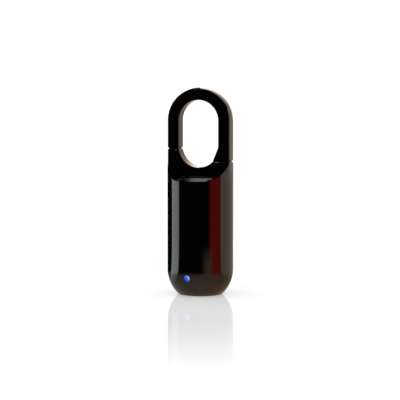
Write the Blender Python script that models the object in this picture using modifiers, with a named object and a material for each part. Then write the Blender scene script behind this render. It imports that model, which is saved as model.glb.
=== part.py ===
import math

import bmesh
import bpy
from mathutils import Matrix

# Travel padlock: a slim round body that narrows to a flat loop of the same width.
# The loop's upper part is the shackle.  It turns on a pin in the taller left post,
# and a motor-driven bolt rises from the right stub into the shackle's other leg.
# X runs to the right, the front faces -Y, Z is up from the middle of the foot.

mm = 0.001
degree = math.pi / 180

# Fits between pieces
press_fit = 0.03 * mm
running_fit = 0.06 * mm
loose_fit = 0.2 * mm

# Reach of a cutting tool past a surface, overlap of joined shapes, weld of loose points
beyond = 1.0 * mm
overlap = 0.5 * mm
weld_reach = 0.001 * mm

# Cells: standard button stacks, which set the bore and the length of the body
cell_radius = 5.8 * mm
cell_length = 10.8 * mm
cell_nub_radius = 3.4 * mm
cell_nub_height = 0.5 * mm
cell_shoulder_round = 0.35 * mm
cell_offset = 2.4 * mm
cell_space = 0.12 * mm
cell_margin = 0.7 * mm
bore_radius = cell_offset + cell_radius + cell_margin

# Outside of the body and the loop
casing_wall = 3.1 * mm
body_radius = bore_radius + casing_wall
foot_face_radius = 7.85 * mm
foot_height = 9.3 * mm
plate_thickness = 4.8 * mm
leg_width = 4.44 * mm
roof_thickness = 3.2 * mm
bridge_thickness = 3.65 * mm
ledge_draft = 4.8 * degree
flat_corner_radius = 6.9 * mm
loop_straight = 9.47 * mm
left_seam_rise = 6.81 * mm
right_seam_rise = 2.3 * mm
seam_gap = 0.2 * mm
seam_chamfer = 0.32 * mm
outer_chamfer_share = 0.85
edge_round = 0.2 * mm

# Base cap with its bayonet lugs and ring seal
cap_seam_height = 2.6 * mm
cap_seam_gap = 0.06 * mm
cap_plug_height = 2.6 * mm
cap_plug_wall = 1.3 * mm
cap_plate_thickness = 3.5 * mm
seal_groove_rise = 0.35 * mm
seal_groove_height = 0.95 * mm
seal_groove_depth = 0.75 * mm
seal_clearance = 0.1 * mm
lug_rise = 0.45 * mm
lug_height = 0.65 * mm
lug_depth = 0.75 * mm
lug_width_angle = 26 * degree
bayonet_turn = 60 * degree
bayonet_clearance = 0.15 * mm
bore_mouth_chamfer = 0.3 * mm
coin_slot_length = 11.0 * mm
coin_slot_width = 1.7 * mm
coin_slot_depth = 1.1 * mm
cap_plug_radius = bore_radius - loose_fit
cap_plug_top = cap_seam_height + cap_plug_height
seal_groove_low = cap_seam_height + seal_groove_rise
seal_groove_high = seal_groove_low + seal_groove_height
seal_groove_radius = cap_plug_radius - seal_groove_depth
seal_wire_radius = (bore_radius - seal_groove_radius) / 2 - seal_clearance
lug_low = seal_groove_high + lug_rise
lug_high = lug_low + lug_height
lug_reach = cap_plug_radius + lug_depth

# Battery spring, standing on the cap, and the contact above the cells
spring_length = 2.9 * mm
spring_wire_radius = 0.22 * mm
spring_outer_radius = 3.6 * mm
spring_inner_radius = 2.2 * mm
spring_turns = 2
spring_points_per_turn = 16
contact_thickness = 0.3 * mm
contact_radius = 4.0 * mm
contact_tab_half_width = 1.2 * mm
contact_tab_reach = 5.6 * mm
cell_low = cap_plate_thickness + spring_length
cell_high = cell_low + 2 * cell_length + cell_space
contact_low = cell_high + running_fit
contact_high = contact_low + contact_thickness

# Battery carrier and the circuit board in its front
carrier_roof = 0.4 * mm
carrier_gap = 0.3 * mm
carrier_front_wall = 0.7 * mm
board_thickness = 0.8 * mm
board_width = 12.4 * mm
board_rise = 0.4 * mm
board_rail_depth = 0.5 * mm
chip_width = 5.0 * mm
chip_height = 0.9 * mm
chip_rise = 8.1 * mm
radio_width = 7.0 * mm
radio_length = 5.6 * mm
radio_height = 1.1 * mm
radio_rise = 16.7 * mm
led_width = 1.6 * mm
led_height = 0.75 * mm
carrier_radius = bore_radius - loose_fit
carrier_low = cap_plug_top + carrier_gap
carrier_ceiling = contact_high + running_fit
carrier_high = carrier_ceiling + carrier_roof
board_low = carrier_low + board_rise
board_front = cell_offset - cell_radius - carrier_front_wall - cell_space - board_thickness
board_back = board_front + board_thickness
chip_middle = board_low + chip_rise
radio_middle = board_low + radio_rise

# Light pipe in the front of the foot
light_radius = 1.14 * mm
light_height = 6.8 * mm
light_turn = -6 * degree
light_inner_gap = 0.5 * mm
light_inner_reach = led_height + light_inner_gap - board_front

# Lead screw, carriage and locking bolt
frame_gap = 0.11 * mm
frame_floor = 0.9 * mm
thread_lead = 1.5 * mm
thread_crest_radius = 1.15 * mm
thread_root_radius = 0.8 * mm
thread_flat_share = 0.22
thread_clearance = 0.16 * mm
journal_radius = 0.5 * mm
nut_rise = 0.14 * mm
nut_height = 2.5 * mm
nut_half_width = 1.75 * mm
nut_back = 1.55 * mm
arm_half_width = 0.9 * mm
arm_height = 1.35 * mm
arm_gap = 0.15 * mm
bolt_inset = 3.0 * mm
bolt_radius = 1.1 * mm
bolt_neck_radius = 0.5 * mm
bolt_foot_height = 0.85 * mm
bolt_foot_flat = 0.25 * mm
bolt_foot_room = 0.7 * mm
bolt_throw = 3.0 * mm
bolt_rest_depth = 0.35 * mm
bolt_tip_chamfer = 0.35 * mm
frame_low = carrier_high + frame_gap
thread_low = frame_low + frame_floor + running_fit
nut_low = thread_low + nut_rise
nut_high = nut_low + nut_height
arm_high = nut_low + arm_height
arm_reach = bore_radius - arm_gap
bolt_place = body_radius - bolt_inset
foot_high = nut_low - running_fit
foot_low = foot_high - bolt_foot_height
bolt_channel_radius = bolt_radius + loose_fit
bolt_channel_low = foot_low - bolt_foot_room

# Gear train: a pinion on the motor turns the gear of the lead screw
tooth_module = 0.29 * mm
pinion_teeth = 12
gear_teeth = 24
pressure_angle = 25 * degree
tooth_tip_share = 0.88
tooth_root_share = 1.2
tooth_backlash = 0.07 * mm
gear_thickness = 1.3 * mm
gear_gap = 0.35 * mm
gear_hub_radius = 1.4 * mm
gear_web_radius = 2.6 * mm
gear_web_depth = 0.4 * mm
frame_top = nut_high + bolt_throw + gear_gap
gear_low = frame_top + gear_gap
gear_top = gear_low + gear_thickness
centre_distance = tooth_module * (pinion_teeth + gear_teeth) / 2
motor_position = -centre_distance / 2
screw_position = centre_distance / 2

# Motor
motor_radius = 3.0 * mm
motor_length = 5.65 * mm
motor_roof = 0.3 * mm
motor_boss_radius = 1.1 * mm
motor_cap_thickness = 0.75 * mm
motor_edge = 0.25 * mm
shaft_radius = 0.4 * mm
shaft_sink = 2.0 * mm
motor_top = frame_top - motor_roof
motor_low = motor_top - motor_length

# Bearing plate, the fork above it, and the two long screws
plate_thickness_thin = 0.65 * mm
plate_edge_gap = 0.3 * mm
screw_inset = 2.3 * mm
screw_shank_radius = 0.6 * mm
screw_head_radius = 1.1 * mm
screw_head_height = 0.8 * mm
screw_grip = 1.3 * mm
screw_post_radius = 1.3 * mm
screw_drive_radius = 0.5 * mm
screw_drive_depth = 0.4 * mm
fork_thickness = 0.6 * mm
fork_gap = 0.29 * mm
fork_half_width = 2.1 * mm
fork_length_behind = 3.35 * mm
fork_pocket_wall = 0.9 * mm
fork_tab_thickness = 0.7 * mm
fork_tab_half_width = 1.2 * mm
bearing_plate_radius = bore_radius - plate_edge_gap
bearing_plate_low = gear_top + gear_gap
plate_high = bearing_plate_low + plate_thickness_thin
fork_low = plate_high + fork_gap
fork_high = fork_low + fork_thickness
bore_top = fork_high + running_fit
screw_place = bore_radius - screw_inset
screw_top = bore_top + screw_grip
boss_low = plate_high + running_fit

# Heights of the ledge, the loop and its two seams
ledge_height = bore_top + roof_thickness
loop_low = ledge_height + bridge_thickness
loop_half = body_radius - leg_width
loop_low_centre = loop_low + loop_half
arch_centre = loop_low_centre + loop_straight
overall_height = arch_centre + body_radius
left_seam_height = loop_low + left_seam_rise
right_seam_height = loop_low + right_seam_rise
post_top = left_seam_height - seam_gap / 2
stub_top = right_seam_height - seam_gap / 2
left_underside = left_seam_height + seam_gap / 2
right_underside = right_seam_height + seam_gap / 2
plate_half = plate_thickness / 2

# Bush and seal round the bolt, and the sleeve that receives it in the shackle
bush_wall = 0.54 * mm
bush_length = 3.59 * mm
bolt_seal_height = 0.75 * mm
sleeve_wall = 0.33 * mm
sleeve_spare = 0.25 * mm
bush_radius = bolt_radius + running_fit + bush_wall
bush_top = stub_top - running_fit
bush_low = bush_top - bush_length
bolt_top = stub_top - bolt_rest_depth
sleeve_bore_radius = bolt_radius + 2 * running_fit
sleeve_radius = sleeve_bore_radius + sleeve_wall
sleeve_top = right_underside + bolt_throw + sleeve_spare

# Pivot pin in the left post, with its bush, washer and retaining fork
pivot_inset = 2.25 * mm
pin_radius = 1.3 * mm
pin_grip = 2.9 * mm
pin_rise = 0.1 * mm
pin_groove_depth = 0.45 * mm
pivot_bush_wall = 0.36 * mm
pivot_bush_rise = 0.8 * mm
washer_thickness = 0.6 * mm
pivot_place = pivot_inset - body_radius
pin_top = left_underside + pin_grip
pin_low = bearing_plate_low + pin_rise
pin_groove_radius = pin_radius - pin_groove_depth
pivot_bush_radius = pin_radius + running_fit + pivot_bush_wall
pivot_bush_low = ledge_height + pivot_bush_rise
fork_tail = pivot_place + fork_length_behind
fork_pocket_end = fork_pocket_wall - body_radius
fork_end = fork_pocket_end + 2 * loose_fit

# Facets of round work
fine_steps = 60
middle_steps = 28
small_steps = 20
hole_steps = 18
seal_steps = 36
wire_steps = 8
rim_steps = 54
lug_steps = 6
pocket_steps = 26
wire_rounds = 1
arch_steps = 32
corner_steps = 8
round_steps = 2
outer_arc_steps = 4
thread_steps = 18
thread_rows_per_turn = 10
flank_steps = 1

# The foot's arc meets the body's side upright and the flat face at its edge
foot_arc_offset = (body_radius ** 2 - foot_face_radius ** 2 - foot_height ** 2) / (
    2 * (body_radius - foot_face_radius))
foot_arc_radius = body_radius - foot_arc_offset


for leftover in list(bpy.data.objects):
    bpy.data.objects.remove(leftover, do_unlink=True)

padlock = bpy.data.collections.new("travel_padlock")
bpy.context.scene.collection.children.link(padlock)


def material(name, colour, metallic, roughness):
    made = bpy.data.materials.new(name)
    made.use_nodes = True
    shader = made.node_tree.nodes["Principled BSDF"]
    shader.inputs["Base Color"].default_value = (*colour, 1)
    shader.inputs["Metallic"].default_value = metallic
    shader.inputs["Roughness"].default_value = roughness
    made.diffuse_color = (*colour, 1)
    return made


black_lacquer = material("black_lacquer", (0.006, 0.006, 0.007), 0.0, 0.06)
steel = material("steel", (0.55, 0.55, 0.56), 1.0, 0.3)
hard_steel = material("hard_steel", (0.42, 0.42, 0.44), 1.0, 0.25)
nickel = material("nickel", (0.66, 0.63, 0.58), 1.0, 0.22)
brass = material("brass", (0.72, 0.52, 0.22), 1.0, 0.28)
bronze = material("bronze", (0.55, 0.36, 0.18), 1.0, 0.4)
seal_rubber = material("seal_rubber", (0.02, 0.02, 0.02), 0.0, 0.7)
grey_plastic = material("grey_plastic", (0.12, 0.12, 0.13), 0.0, 0.5)
white_plastic = material("white_plastic", (0.75, 0.75, 0.72), 0.0, 0.45)
board_green = material("board_green", (0.02, 0.16, 0.07), 0.0, 0.4)
chip_black = material("chip_black", (0.015, 0.015, 0.015), 0.0, 0.55)
clear_blue = material("clear_blue", (0.12, 0.3, 0.85), 0.0, 0.15)


def bring_in(name, bm, paint, smooth=False):
    """Make a named object of a finished shape, with its faces turned outward."""
    bmesh.ops.recalc_face_normals(bm, faces=bm.faces)
    mesh = bpy.data.meshes.new(name)
    bm.to_mesh(mesh)
    bm.free()
    made = bpy.data.objects.new(name, mesh)
    padlock.objects.link(made)
    if paint is not None:
        mesh.materials.append(paint)
    for face in mesh.polygons:
        face.use_smooth = smooth
    return made


def settle(obj):
    """Turn the modifiers of an object into plain mesh."""
    bpy.context.view_layer.update()
    graph = bpy.context.evaluated_depsgraph_get()
    mesh = bpy.data.meshes.new_from_object(obj.evaluated_get(graph))
    obj.modifiers.clear()
    old = obj.data
    obj.data = mesh
    bpy.data.meshes.remove(old)
    return obj


def turned(name, outline, steps, paint=None, closed=False, at=(0, 0)):
    """Turn an outline of (radius, height) points round a vertical axis at a place."""
    mesh = bpy.data.meshes.new(name)
    points = [(radius, 0, height) for radius, height in outline]
    edges = [(i, i + 1) for i in range(len(points) - 1)]
    if closed:
        edges.append((len(points) - 1, 0))
    mesh.from_pydata(points, edges, [])
    made = bpy.data.objects.new(name, mesh)
    padlock.objects.link(made)
    spin = made.modifiers.new("turn", "SCREW")
    spin.axis = "Z"
    spin.steps = steps
    spin.render_steps = steps
    spin.use_merge_vertices = True
    spin.merge_threshold = weld_reach
    settle(made)
    bm = bmesh.new()
    bm.from_mesh(made.data)
    bmesh.ops.remove_doubles(bm, verts=bm.verts, dist=weld_reach)
    bmesh.ops.recalc_face_normals(bm, faces=bm.faces)
    bmesh.ops.translate(bm, verts=bm.verts, vec=(at[0], at[1], 0))
    bm.to_mesh(made.data)
    bm.free()
    if paint is not None:
        made.data.materials.append(paint)
    for face in made.data.polygons:
        face.use_smooth = True
    return made


def tube_outline(inner, outer, low, high, chamfer=0.0):
    """Closed outline of a plain sleeve, its outer edges broken by a chamfer."""
    if chamfer > 0:
        return [(outer - chamfer, high), (outer, high - chamfer), (outer, low + chamfer),
                (outer - chamfer, low), (inner, low), (inner, high)]
    return [(outer, high), (outer, low), (inner, low), (inner, high)]


def rod_outline(radius, low, high, chamfer=0.0):
    """Open outline of a solid rod from its top centre to its bottom centre."""
    if chamfer > 0:
        return [(0, high), (radius - chamfer, high), (radius, high - chamfer),
                (radius, low + chamfer), (radius - chamfer, low), (0, low)]
    return [(0, high), (radius, high), (radius, low), (0, low)]


def block(name, low, high, paint=None):
    """A box between two opposite corners."""
    bm = bmesh.new()
    bmesh.ops.create_cube(bm, size=1)
    for vert in bm.verts:
        for axis in range(3):
            ends = sorted((low[axis], high[axis]))
            vert.co[axis] = ends[1] if vert.co[axis] > 0 else ends[0]
    return bring_in(name, bm, paint)


def lofted(name, loops, paint=None, smooth=False):
    """A solid through a row of point loops of equal count, closed at both ends."""
    bm = bmesh.new()
    rings = [[bm.verts.new(point) for point in loop] for loop in loops]
    count = len(rings[0])
    for first, second in zip(rings, rings[1:]):
        for i in range(count):
            j = (i + 1) % count
            bm.faces.new((first[i], first[j], second[j], second[i]))
    bm.faces.new(rings[0][::-1])
    bm.faces.new(rings[-1])
    return bring_in(name, bm, paint, smooth)


def combine(target, tool, operation):
    """Cut, join or intersect a piece with a tool shape, and drop the tool."""
    step = target.modifiers.new(operation.lower(), "BOOLEAN")
    step.operation = operation
    step.solver = "EXACT"
    step.object = tool
    settle(target)
    old = tool.data
    bpy.data.objects.remove(tool, do_unlink=True)
    bpy.data.meshes.remove(old)
    return target


def cut(target, tool):
    """Take a tool shape away from a piece."""
    return combine(target, tool, "DIFFERENCE")


def join(target, tool):
    """Make a tool shape part of a piece."""
    return combine(target, tool, "UNION")


def arc(centre, radius, start, end, steps):
    """Points along an arc in a plane, from a start angle to an end angle."""
    points = []
    for i in range(steps + 1):
        angle = start + (end - start) * i / steps
        points.append((centre[0] + radius * math.cos(angle), centre[1] + radius * math.sin(angle)))
    return points


def foot_radius_at(height):
    """Outer radius of the foot at a height below the straight body."""
    rise = foot_height - height
    return foot_arc_offset + math.sqrt(foot_arc_radius ** 2 - rise ** 2)


def foot_outline(low, high, steps):
    """Outer outline of the foot from a high level down to a low level."""
    points = []
    for i in range(steps + 1):
        height = high + (low - high) * i / steps
        points.append((foot_radius_at(height), height))
    return points


# Casing: one lacquered metal body.  A turned form with a rounded foot is cut by a flat
# with rounded lower corners on the front and back, pierced by the loop's lower end and
# stopped at the two seams.  Its bore is open below and is closed by the base cap.
casing_low = cap_seam_height + cap_seam_gap
casing = turned(
    "casing",
    [(0, left_seam_height - seam_gap / 2), (body_radius, left_seam_height - seam_gap / 2)]
    + foot_outline(casing_low, foot_height, corner_steps)
    + [(0, casing_low)],
    fine_steps, black_lacquer)


def flat_outline(spread):
    """Front view of a flat's recess: straight sides, straight low edge, round corners."""
    side = body_radius + spread
    low = ledge_height - spread
    radius = flat_corner_radius + spread
    top = overall_height + beyond
    middle = low + radius
    points = [(side, top)]
    points += arc((side - radius, middle), radius, 0, -math.pi / 2, corner_steps)
    points += arc((radius - side, middle), radius, -math.pi / 2, -math.pi, corner_steps)
    points.append((-side, top))
    return points


outer_reach = body_radius + beyond
ledge_spread = math.tan(ledge_draft) * (outer_reach - plate_half)
for side in (-1, 1):
    recess = lofted("recess", [
        [(x, side * plate_half, z) for x, z in flat_outline(0)],
        [(x, side * outer_reach, z) for x, z in flat_outline(ledge_spread)]])
    cut(casing, recess)


def loop_outline(spread):
    """Front view of the loop's opening: two half circles joined by straight sides."""
    radius = loop_half + spread
    points = arc((0, arch_centre), radius, 0, math.pi, arch_steps // 2)
    points += arc((0, loop_low_centre), radius, math.pi, 2 * math.pi, arch_steps // 2)
    return points


opening = lofted("opening", [
    [(x, -outer_reach, z) for x, z in loop_outline(0)],
    [(x, outer_reach, z) for x, z in loop_outline(0)]])
cut(casing, opening)
cut(casing, block("above_stub", (0, -outer_reach, stub_top),
                  (outer_reach, outer_reach, overall_height)))


def loop_half_at(height):
    """Half width of the opening's low half circle at a height."""
    return math.sqrt(max(loop_half ** 2 - (loop_low_centre - height) ** 2, 0))


def wedge_corners(first, second):
    """Corners of a triangle that removes what lies outside a chamfer's line."""
    run = (second[0] - first[0], second[1] - first[1])
    start = (first[0] - run[0], first[1] - run[1])
    end = (second[0] + run[0], second[1] + run[1])
    return [start, end, (end[0], start[1])]


def break_rim(post, side, top):
    """Chamfer all four edges of a post's top face on the left (-1) or right (1)."""
    low = top - seam_chamfer
    for face in (-1, 1):
        corners = wedge_corners((face * (plate_half - seam_chamfer), top), (face * plate_half, low))
        cut(post, lofted("rim_cut", [[(0, y, z) for y, z in corners],
                                     [(side * outer_reach, y, z) for y, z in corners]]))
    corners = wedge_corners((side * (loop_half_at(top) + seam_chamfer), top),
                            (side * loop_half_at(low), low))
    cut(post, lofted("rim_cut", [[(x, -outer_reach, z) for x, z in corners],
                                 [(x, outer_reach, z) for x, z in corners]]))
    outer_chamfer = seam_chamfer * outer_chamfer_share
    corners = wedge_corners((body_radius - outer_chamfer, top), (body_radius, top - outer_chamfer))
    ring = turned("rim_cut", corners, rim_steps, closed=True)
    cut(ring, block("other_half", (0, -outer_reach, 0), (-side * outer_reach, outer_reach, overall_height)))
    cut(post, ring)


break_rim(casing, -1, post_top)
break_rim(casing, 1, stub_top)

# Insides of the casing: main bore with two bosses hanging from its roof, bayonet groove
# with its two entries, bolt channel and bush seat, pin bore, fork pocket, light hole.
groove_reach = lug_reach + bayonet_clearance
groove_top = lug_high + bayonet_clearance
groove_floor = lug_low - bayonet_clearance
bore = turned(
    "bore",
    [(0, bore_top), (bore_radius, bore_top), (bore_radius, groove_top), (groove_reach, groove_top),
     (groove_reach, groove_floor), (bore_radius, groove_floor),
     (bore_radius, casing_low + bore_mouth_chamfer), (bore_radius + bore_mouth_chamfer, casing_low),
     (bore_radius + bore_mouth_chamfer, casing_low - beyond), (0, casing_low - beyond)],
    fine_steps)
for side in (-1, 1):
    boss = turned("boss", rod_outline(screw_post_radius, boss_low, bore_top + beyond), small_steps,
                  at=(0, side * screw_place))
    cut(bore, boss)
cut(casing, bore)


def sector(name, inner, outer, low, high, middle, width):
    """A ring sector between two radii and two heights, about a middle angle."""
    loop = arc((0, 0), outer, middle - width / 2, middle + width / 2, lug_steps)
    loop += arc((0, 0), inner, middle + width / 2, middle - width / 2, lug_steps)
    return lofted(name, [[(x, y, low) for x, y in loop], [(x, y, high) for x, y in loop]])


lug_angles = (0.0, math.pi)
entry_spread = 2 * bayonet_clearance / bore_radius
for angle in lug_angles:
    cut(casing, sector("entry", cap_plug_radius - beyond, lug_reach + bayonet_clearance / 2,
                       casing_low - beyond, lug_high + bayonet_clearance / 2, angle + bayonet_turn,
                       lug_width_angle + entry_spread))

channel = turned(
    "channel",
    [(0, stub_top + beyond), (bush_radius + press_fit, stub_top + beyond),
     (bush_radius + press_fit, bush_low - running_fit - bolt_seal_height),
     (bolt_channel_radius, bush_low - running_fit - bolt_seal_height),
     (bolt_channel_radius, bolt_channel_low), (0, bolt_channel_low)],
    middle_steps, at=(bolt_place, 0))
cut(casing, channel)

pin_hole = turned(
    "pin_hole",
    [(0, post_top + beyond), (pivot_bush_radius + press_fit, post_top + beyond),
     (pivot_bush_radius + press_fit, pivot_bush_low - press_fit),
     (pin_radius + running_fit, pivot_bush_low - press_fit),
     (pin_radius + running_fit, pin_low - loose_fit), (0, pin_low - loose_fit)],
    middle_steps, at=(pivot_place, 0))
cut(casing, pin_hole)
cut(casing, block("fork_pocket", (fork_pocket_end, -fork_half_width - loose_fit, pin_low - loose_fit),
                  (fork_tail, fork_half_width + loose_fit, bore_top)))


def radial_rod(name, radius, inner, outer, paint=None, steps=middle_steps):
    """A rod that lies level and points out through the foot at the light's place."""
    made = turned(name, rod_outline(radius, inner, outer), steps, paint)
    lean = Matrix.Rotation(math.pi / 2, 4, "X")
    swing = Matrix.Rotation(light_turn, 4, "Z")
    made.data.transform(Matrix.Translation((0, 0, light_height)) @ swing @ lean)
    return made


cut(casing, radial_rod("light_hole", light_radius + press_fit, bore_radius - beyond, outer_reach))
for side in (-1, 1):
    cut(casing, turned("thread_hole", rod_outline(screw_shank_radius + press_fit, boss_low - beyond,
                                                  screw_top + loose_fit),
                       hole_steps, at=(0, side * screw_place)))
for face in casing.data.polygons:
    face.use_smooth = True
casing.data.set_sharp_from_angle(angle=30 * degree)

# Light pipe: a clear rod pressed through the foot, its outer end flush with the lacquer.
light_pipe = radial_rod("light_pipe", light_radius, light_inner_reach, outer_reach, clear_blue)
foot_form = turned("foot_form", [(0, foot_height + beyond), (body_radius, foot_height + beyond)]
                   + foot_outline(cap_seam_height, foot_height, corner_steps * 2) + [(0, cap_seam_height)],
                   fine_steps)
combine(light_pipe, foot_form, "INTERSECT")

# Base cap: the foot's lowest slice with a plug, two bayonet lugs, a groove for the ring
# seal and a coin slot underneath.
plug_inner = cap_plug_radius - cap_plug_wall
base_cap = turned(
    "base_cap",
    [(0, cap_plate_thickness), (plug_inner, cap_plate_thickness), (plug_inner, cap_plug_top),
     (cap_plug_radius, cap_plug_top), (cap_plug_radius, seal_groove_high),
     (seal_groove_radius, seal_groove_high), (seal_groove_radius, seal_groove_low),
     (cap_plug_radius, seal_groove_low), (cap_plug_radius, cap_seam_height)]
    + foot_outline(0, cap_seam_height, corner_steps // 2) + [(0, 0)],
    fine_steps, black_lacquer)
for angle in lug_angles:
    join(base_cap, sector("lug", cap_plug_radius - cap_plug_wall / 2, lug_reach, lug_low, lug_high,
                          angle, lug_width_angle))
cut(base_cap, block("coin_slot", (-coin_slot_length / 2, -coin_slot_width / 2, -beyond),
                    (coin_slot_length / 2, coin_slot_width / 2, coin_slot_depth)))

seal_middle = seal_groove_low + seal_groove_height / 2
seal_ring_radius = seal_groove_radius + seal_clearance + seal_wire_radius
base_cap_seal = turned(
    "base_cap_seal",
    [(seal_ring_radius + r, seal_middle + z)
     for r, z in arc((0, 0), seal_wire_radius, 0, -2 * math.pi, wire_steps)[:-1]],
    seal_steps, seal_rubber, closed=True)


def mesh_of_curve(name, curve_object, paint):
    """Closed mesh of a curve with its caps welded on; the curve is dropped."""
    bpy.context.view_layer.update()
    graph = bpy.context.evaluated_depsgraph_get()
    mesh = bpy.data.meshes.new_from_object(curve_object.evaluated_get(graph))
    bm = bmesh.new()
    bm.from_mesh(mesh)
    bmesh.ops.remove_doubles(bm, verts=bm.verts, dist=weld_reach)
    bpy.data.objects.remove(curve_object, do_unlink=True)
    bpy.data.meshes.remove(mesh)
    return bring_in(name, bm, paint, smooth=True)


# Cells: two of the same kind, one above the other, each with a rounded rim and a nub.
def cell(name, low, paint):
    """One cell that stands at a height, its nub on top."""
    shoulder = low + cell_length - cell_nub_height
    outline = [(0, low + cell_length), (cell_nub_radius, low + cell_length), (cell_nub_radius, shoulder)]
    outline += [(cell_radius - cell_shoulder_round + x, shoulder - cell_shoulder_round + z)
                for x, z in arc((0, 0), cell_shoulder_round, math.pi / 2, 0, round_steps)]
    outline += [(cell_radius - cell_shoulder_round + x, low + cell_shoulder_round + z)
                for x, z in arc((0, 0), cell_shoulder_round, 0, -math.pi / 2, round_steps)]
    outline.append((0, low))
    return turned(name, outline, middle_steps, paint, at=(0, cell_offset))


cell("battery_cell_lower", cell_low, nickel)
cell("battery_cell_upper", cell_low + cell_length + cell_space, nickel)

# Battery spring: a flat-ended conical coil that stands on the cap and presses the cell.
spring_low = cap_plate_thickness + running_fit + spring_wire_radius
spring_high = cell_low - running_fit - spring_wire_radius
spring_points = []
spring_count = spring_turns * spring_points_per_turn
for i in range(spring_count + 1):
    share = i / spring_count
    angle = share * spring_turns * 2 * math.pi
    reach = spring_outer_radius + (spring_inner_radius - spring_outer_radius) * share
    spring_points.append((reach * math.cos(angle), cell_offset + reach * math.sin(angle),
                          spring_low + (spring_high - spring_low) * share))
wire = bpy.data.curves.new("battery_spring", "CURVE")
wire.dimensions = "3D"
wire.bevel_depth = spring_wire_radius
wire.bevel_resolution = wire_rounds
wire.use_fill_caps = True
path = wire.splines.new("POLY")
path.points.add(spring_count)
for point, place in zip(path.points, spring_points):
    point.co = (*place, 1)
wire_object = bpy.data.objects.new("spring_wire", wire)
padlock.objects.link(wire_object)
mesh_of_curve("battery_spring", wire_object, steel)


# Battery carrier: a moulded holder with a pocket for the cells and rails for the board.
carrier_face = board_back + press_fit
board_half = board_width / 2
carrier = turned("battery_carrier", rod_outline(carrier_radius, carrier_low, carrier_high),
                 middle_steps, grey_plastic)
pocket_outline = rod_outline(cell_radius + cell_space, carrier_low - beyond, carrier_ceiling)
cut(carrier, turned("cell_pocket", pocket_outline, pocket_steps, at=(0, cell_offset)))
cut(carrier, block("board_slot", (-board_half - press_fit, -outer_reach, carrier_low - beyond),
                   (board_half + press_fit, carrier_face, carrier_high + beyond)))
cut(carrier, block("front_gap", (-outer_reach, -outer_reach, carrier_low - beyond),
                   (outer_reach, board_front - board_rail_depth, carrier_high + beyond)))
carrier.data.set_sharp_from_angle(angle=30 * degree)

contact = turned("battery_top_contact", rod_outline(contact_radius, contact_low, contact_high),
                 middle_steps, nickel, at=(0, cell_offset))
join(contact, block("contact_tab",
                    (-contact_tab_half_width, cell_offset - contact_tab_reach, contact_low),
                    (contact_tab_half_width, cell_offset, contact_high)))

# Circuit board with its control chip, radio module and status light.
block("circuit_board", (-board_half, board_front, board_low), (board_half, board_back, carrier_high),
      board_green)


def on_board(name, width, length, height, x, z, paint):
    """A flat component that stands on the board's front face."""
    return block(name, (x - width / 2, board_front - press_fit - height, z - length / 2),
                 (x + width / 2, board_front - press_fit, z + length / 2), paint)


on_board("control_chip", chip_width, chip_width, chip_height, 0, chip_middle, chip_black)
on_board("radio_module", radio_width, radio_length, radio_height, 0, radio_middle, steel)
on_board("status_led", led_width, led_width, led_height,
         light_inner_reach * math.sin(light_turn), light_height, white_plastic)

# Gearbox frame: holds the motor from below, guides the carriage and carries the screw's
# lower journal; two posts on top carry the bearing plate.
frame = turned("gearbox_frame", rod_outline(carrier_radius, frame_low, frame_top), middle_steps,
               grey_plastic)
post_high = bearing_plate_low - running_fit
for side in (-1, 1):
    join(frame, turned("post", rod_outline(screw_post_radius, frame_top - overlap, post_high),
                       small_steps, at=(0, side * screw_place)))
cut(frame, turned("motor_pocket",
                  [(0, frame_top + beyond), (motor_boss_radius + running_fit, frame_top + beyond),
                   (motor_boss_radius + running_fit, motor_top + running_fit),
                   (motor_radius + running_fit, motor_top + running_fit),
                   (motor_radius + running_fit, frame_low - beyond), (0, frame_low - beyond)],
                  middle_steps, at=(motor_position, 0)))
cut(frame, block("carriage_pocket",
                 (screw_position - nut_back - loose_fit, -nut_half_width - loose_fit,
                  frame_low + frame_floor),
                 (outer_reach, nut_half_width + loose_fit, frame_top + beyond)))
notch_outline = rod_outline(bolt_channel_radius, frame_low - beyond, frame_top + beyond)
cut(frame, turned("bolt_notch", notch_outline, small_steps, at=(bolt_place, 0)))
journal_outline = rod_outline(journal_radius + running_fit, frame_low - beyond, frame_top)
cut(frame, turned("journal_hole", journal_outline, hole_steps, at=(screw_position, 0)))
head_seat = frame_low + screw_head_height + running_fit
for side in (-1, 1):
    cut(frame, turned("screw_hole",
                      [(0, post_high + beyond), (screw_shank_radius + running_fit, post_high + beyond),
                       (screw_shank_radius + running_fit, head_seat),
                       (screw_head_radius + running_fit, head_seat),
                       (screw_head_radius + running_fit, frame_low - beyond), (0, frame_low - beyond)],
                      hole_steps, at=(0, side * screw_place)))
frame.data.set_sharp_from_angle(angle=30 * degree)

# Bearing plate: a stamped disc with two bearing holes, clear of the bolt, pin and fork.
plate = turned("bearing_plate", rod_outline(bearing_plate_radius, bearing_plate_low, plate_high),
               middle_steps, steel)


def plate_hole(radius, x, y):
    """Cut a round hole or notch through the bearing plate."""
    cut(plate, turned("plate_hole", rod_outline(radius, bearing_plate_low - beyond, plate_high + beyond),
                      hole_steps, at=(x, y)))


plate_hole(bolt_channel_radius, bolt_place, 0)
plate_hole(pin_radius + loose_fit, pivot_place, 0)
plate_hole(journal_radius + running_fit, screw_position, 0)
plate_hole(shaft_radius + running_fit, motor_position, 0)
for side in (-1, 1):
    plate_hole(screw_shank_radius + running_fit, 0, side * screw_place)
tab_middle = fork_tail - fork_tab_thickness / 2 - loose_fit
cut(plate, block("tab_slot",
                 (tab_middle - fork_tab_thickness / 2 - loose_fit, -fork_tab_half_width - loose_fit,
                  bearing_plate_low - beyond),
                 (tab_middle + fork_tab_thickness / 2 + loose_fit, fork_tab_half_width + loose_fit,
                  plate_high + beyond)))
plate.data.set_sharp_from_angle(angle=30 * degree)

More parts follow.
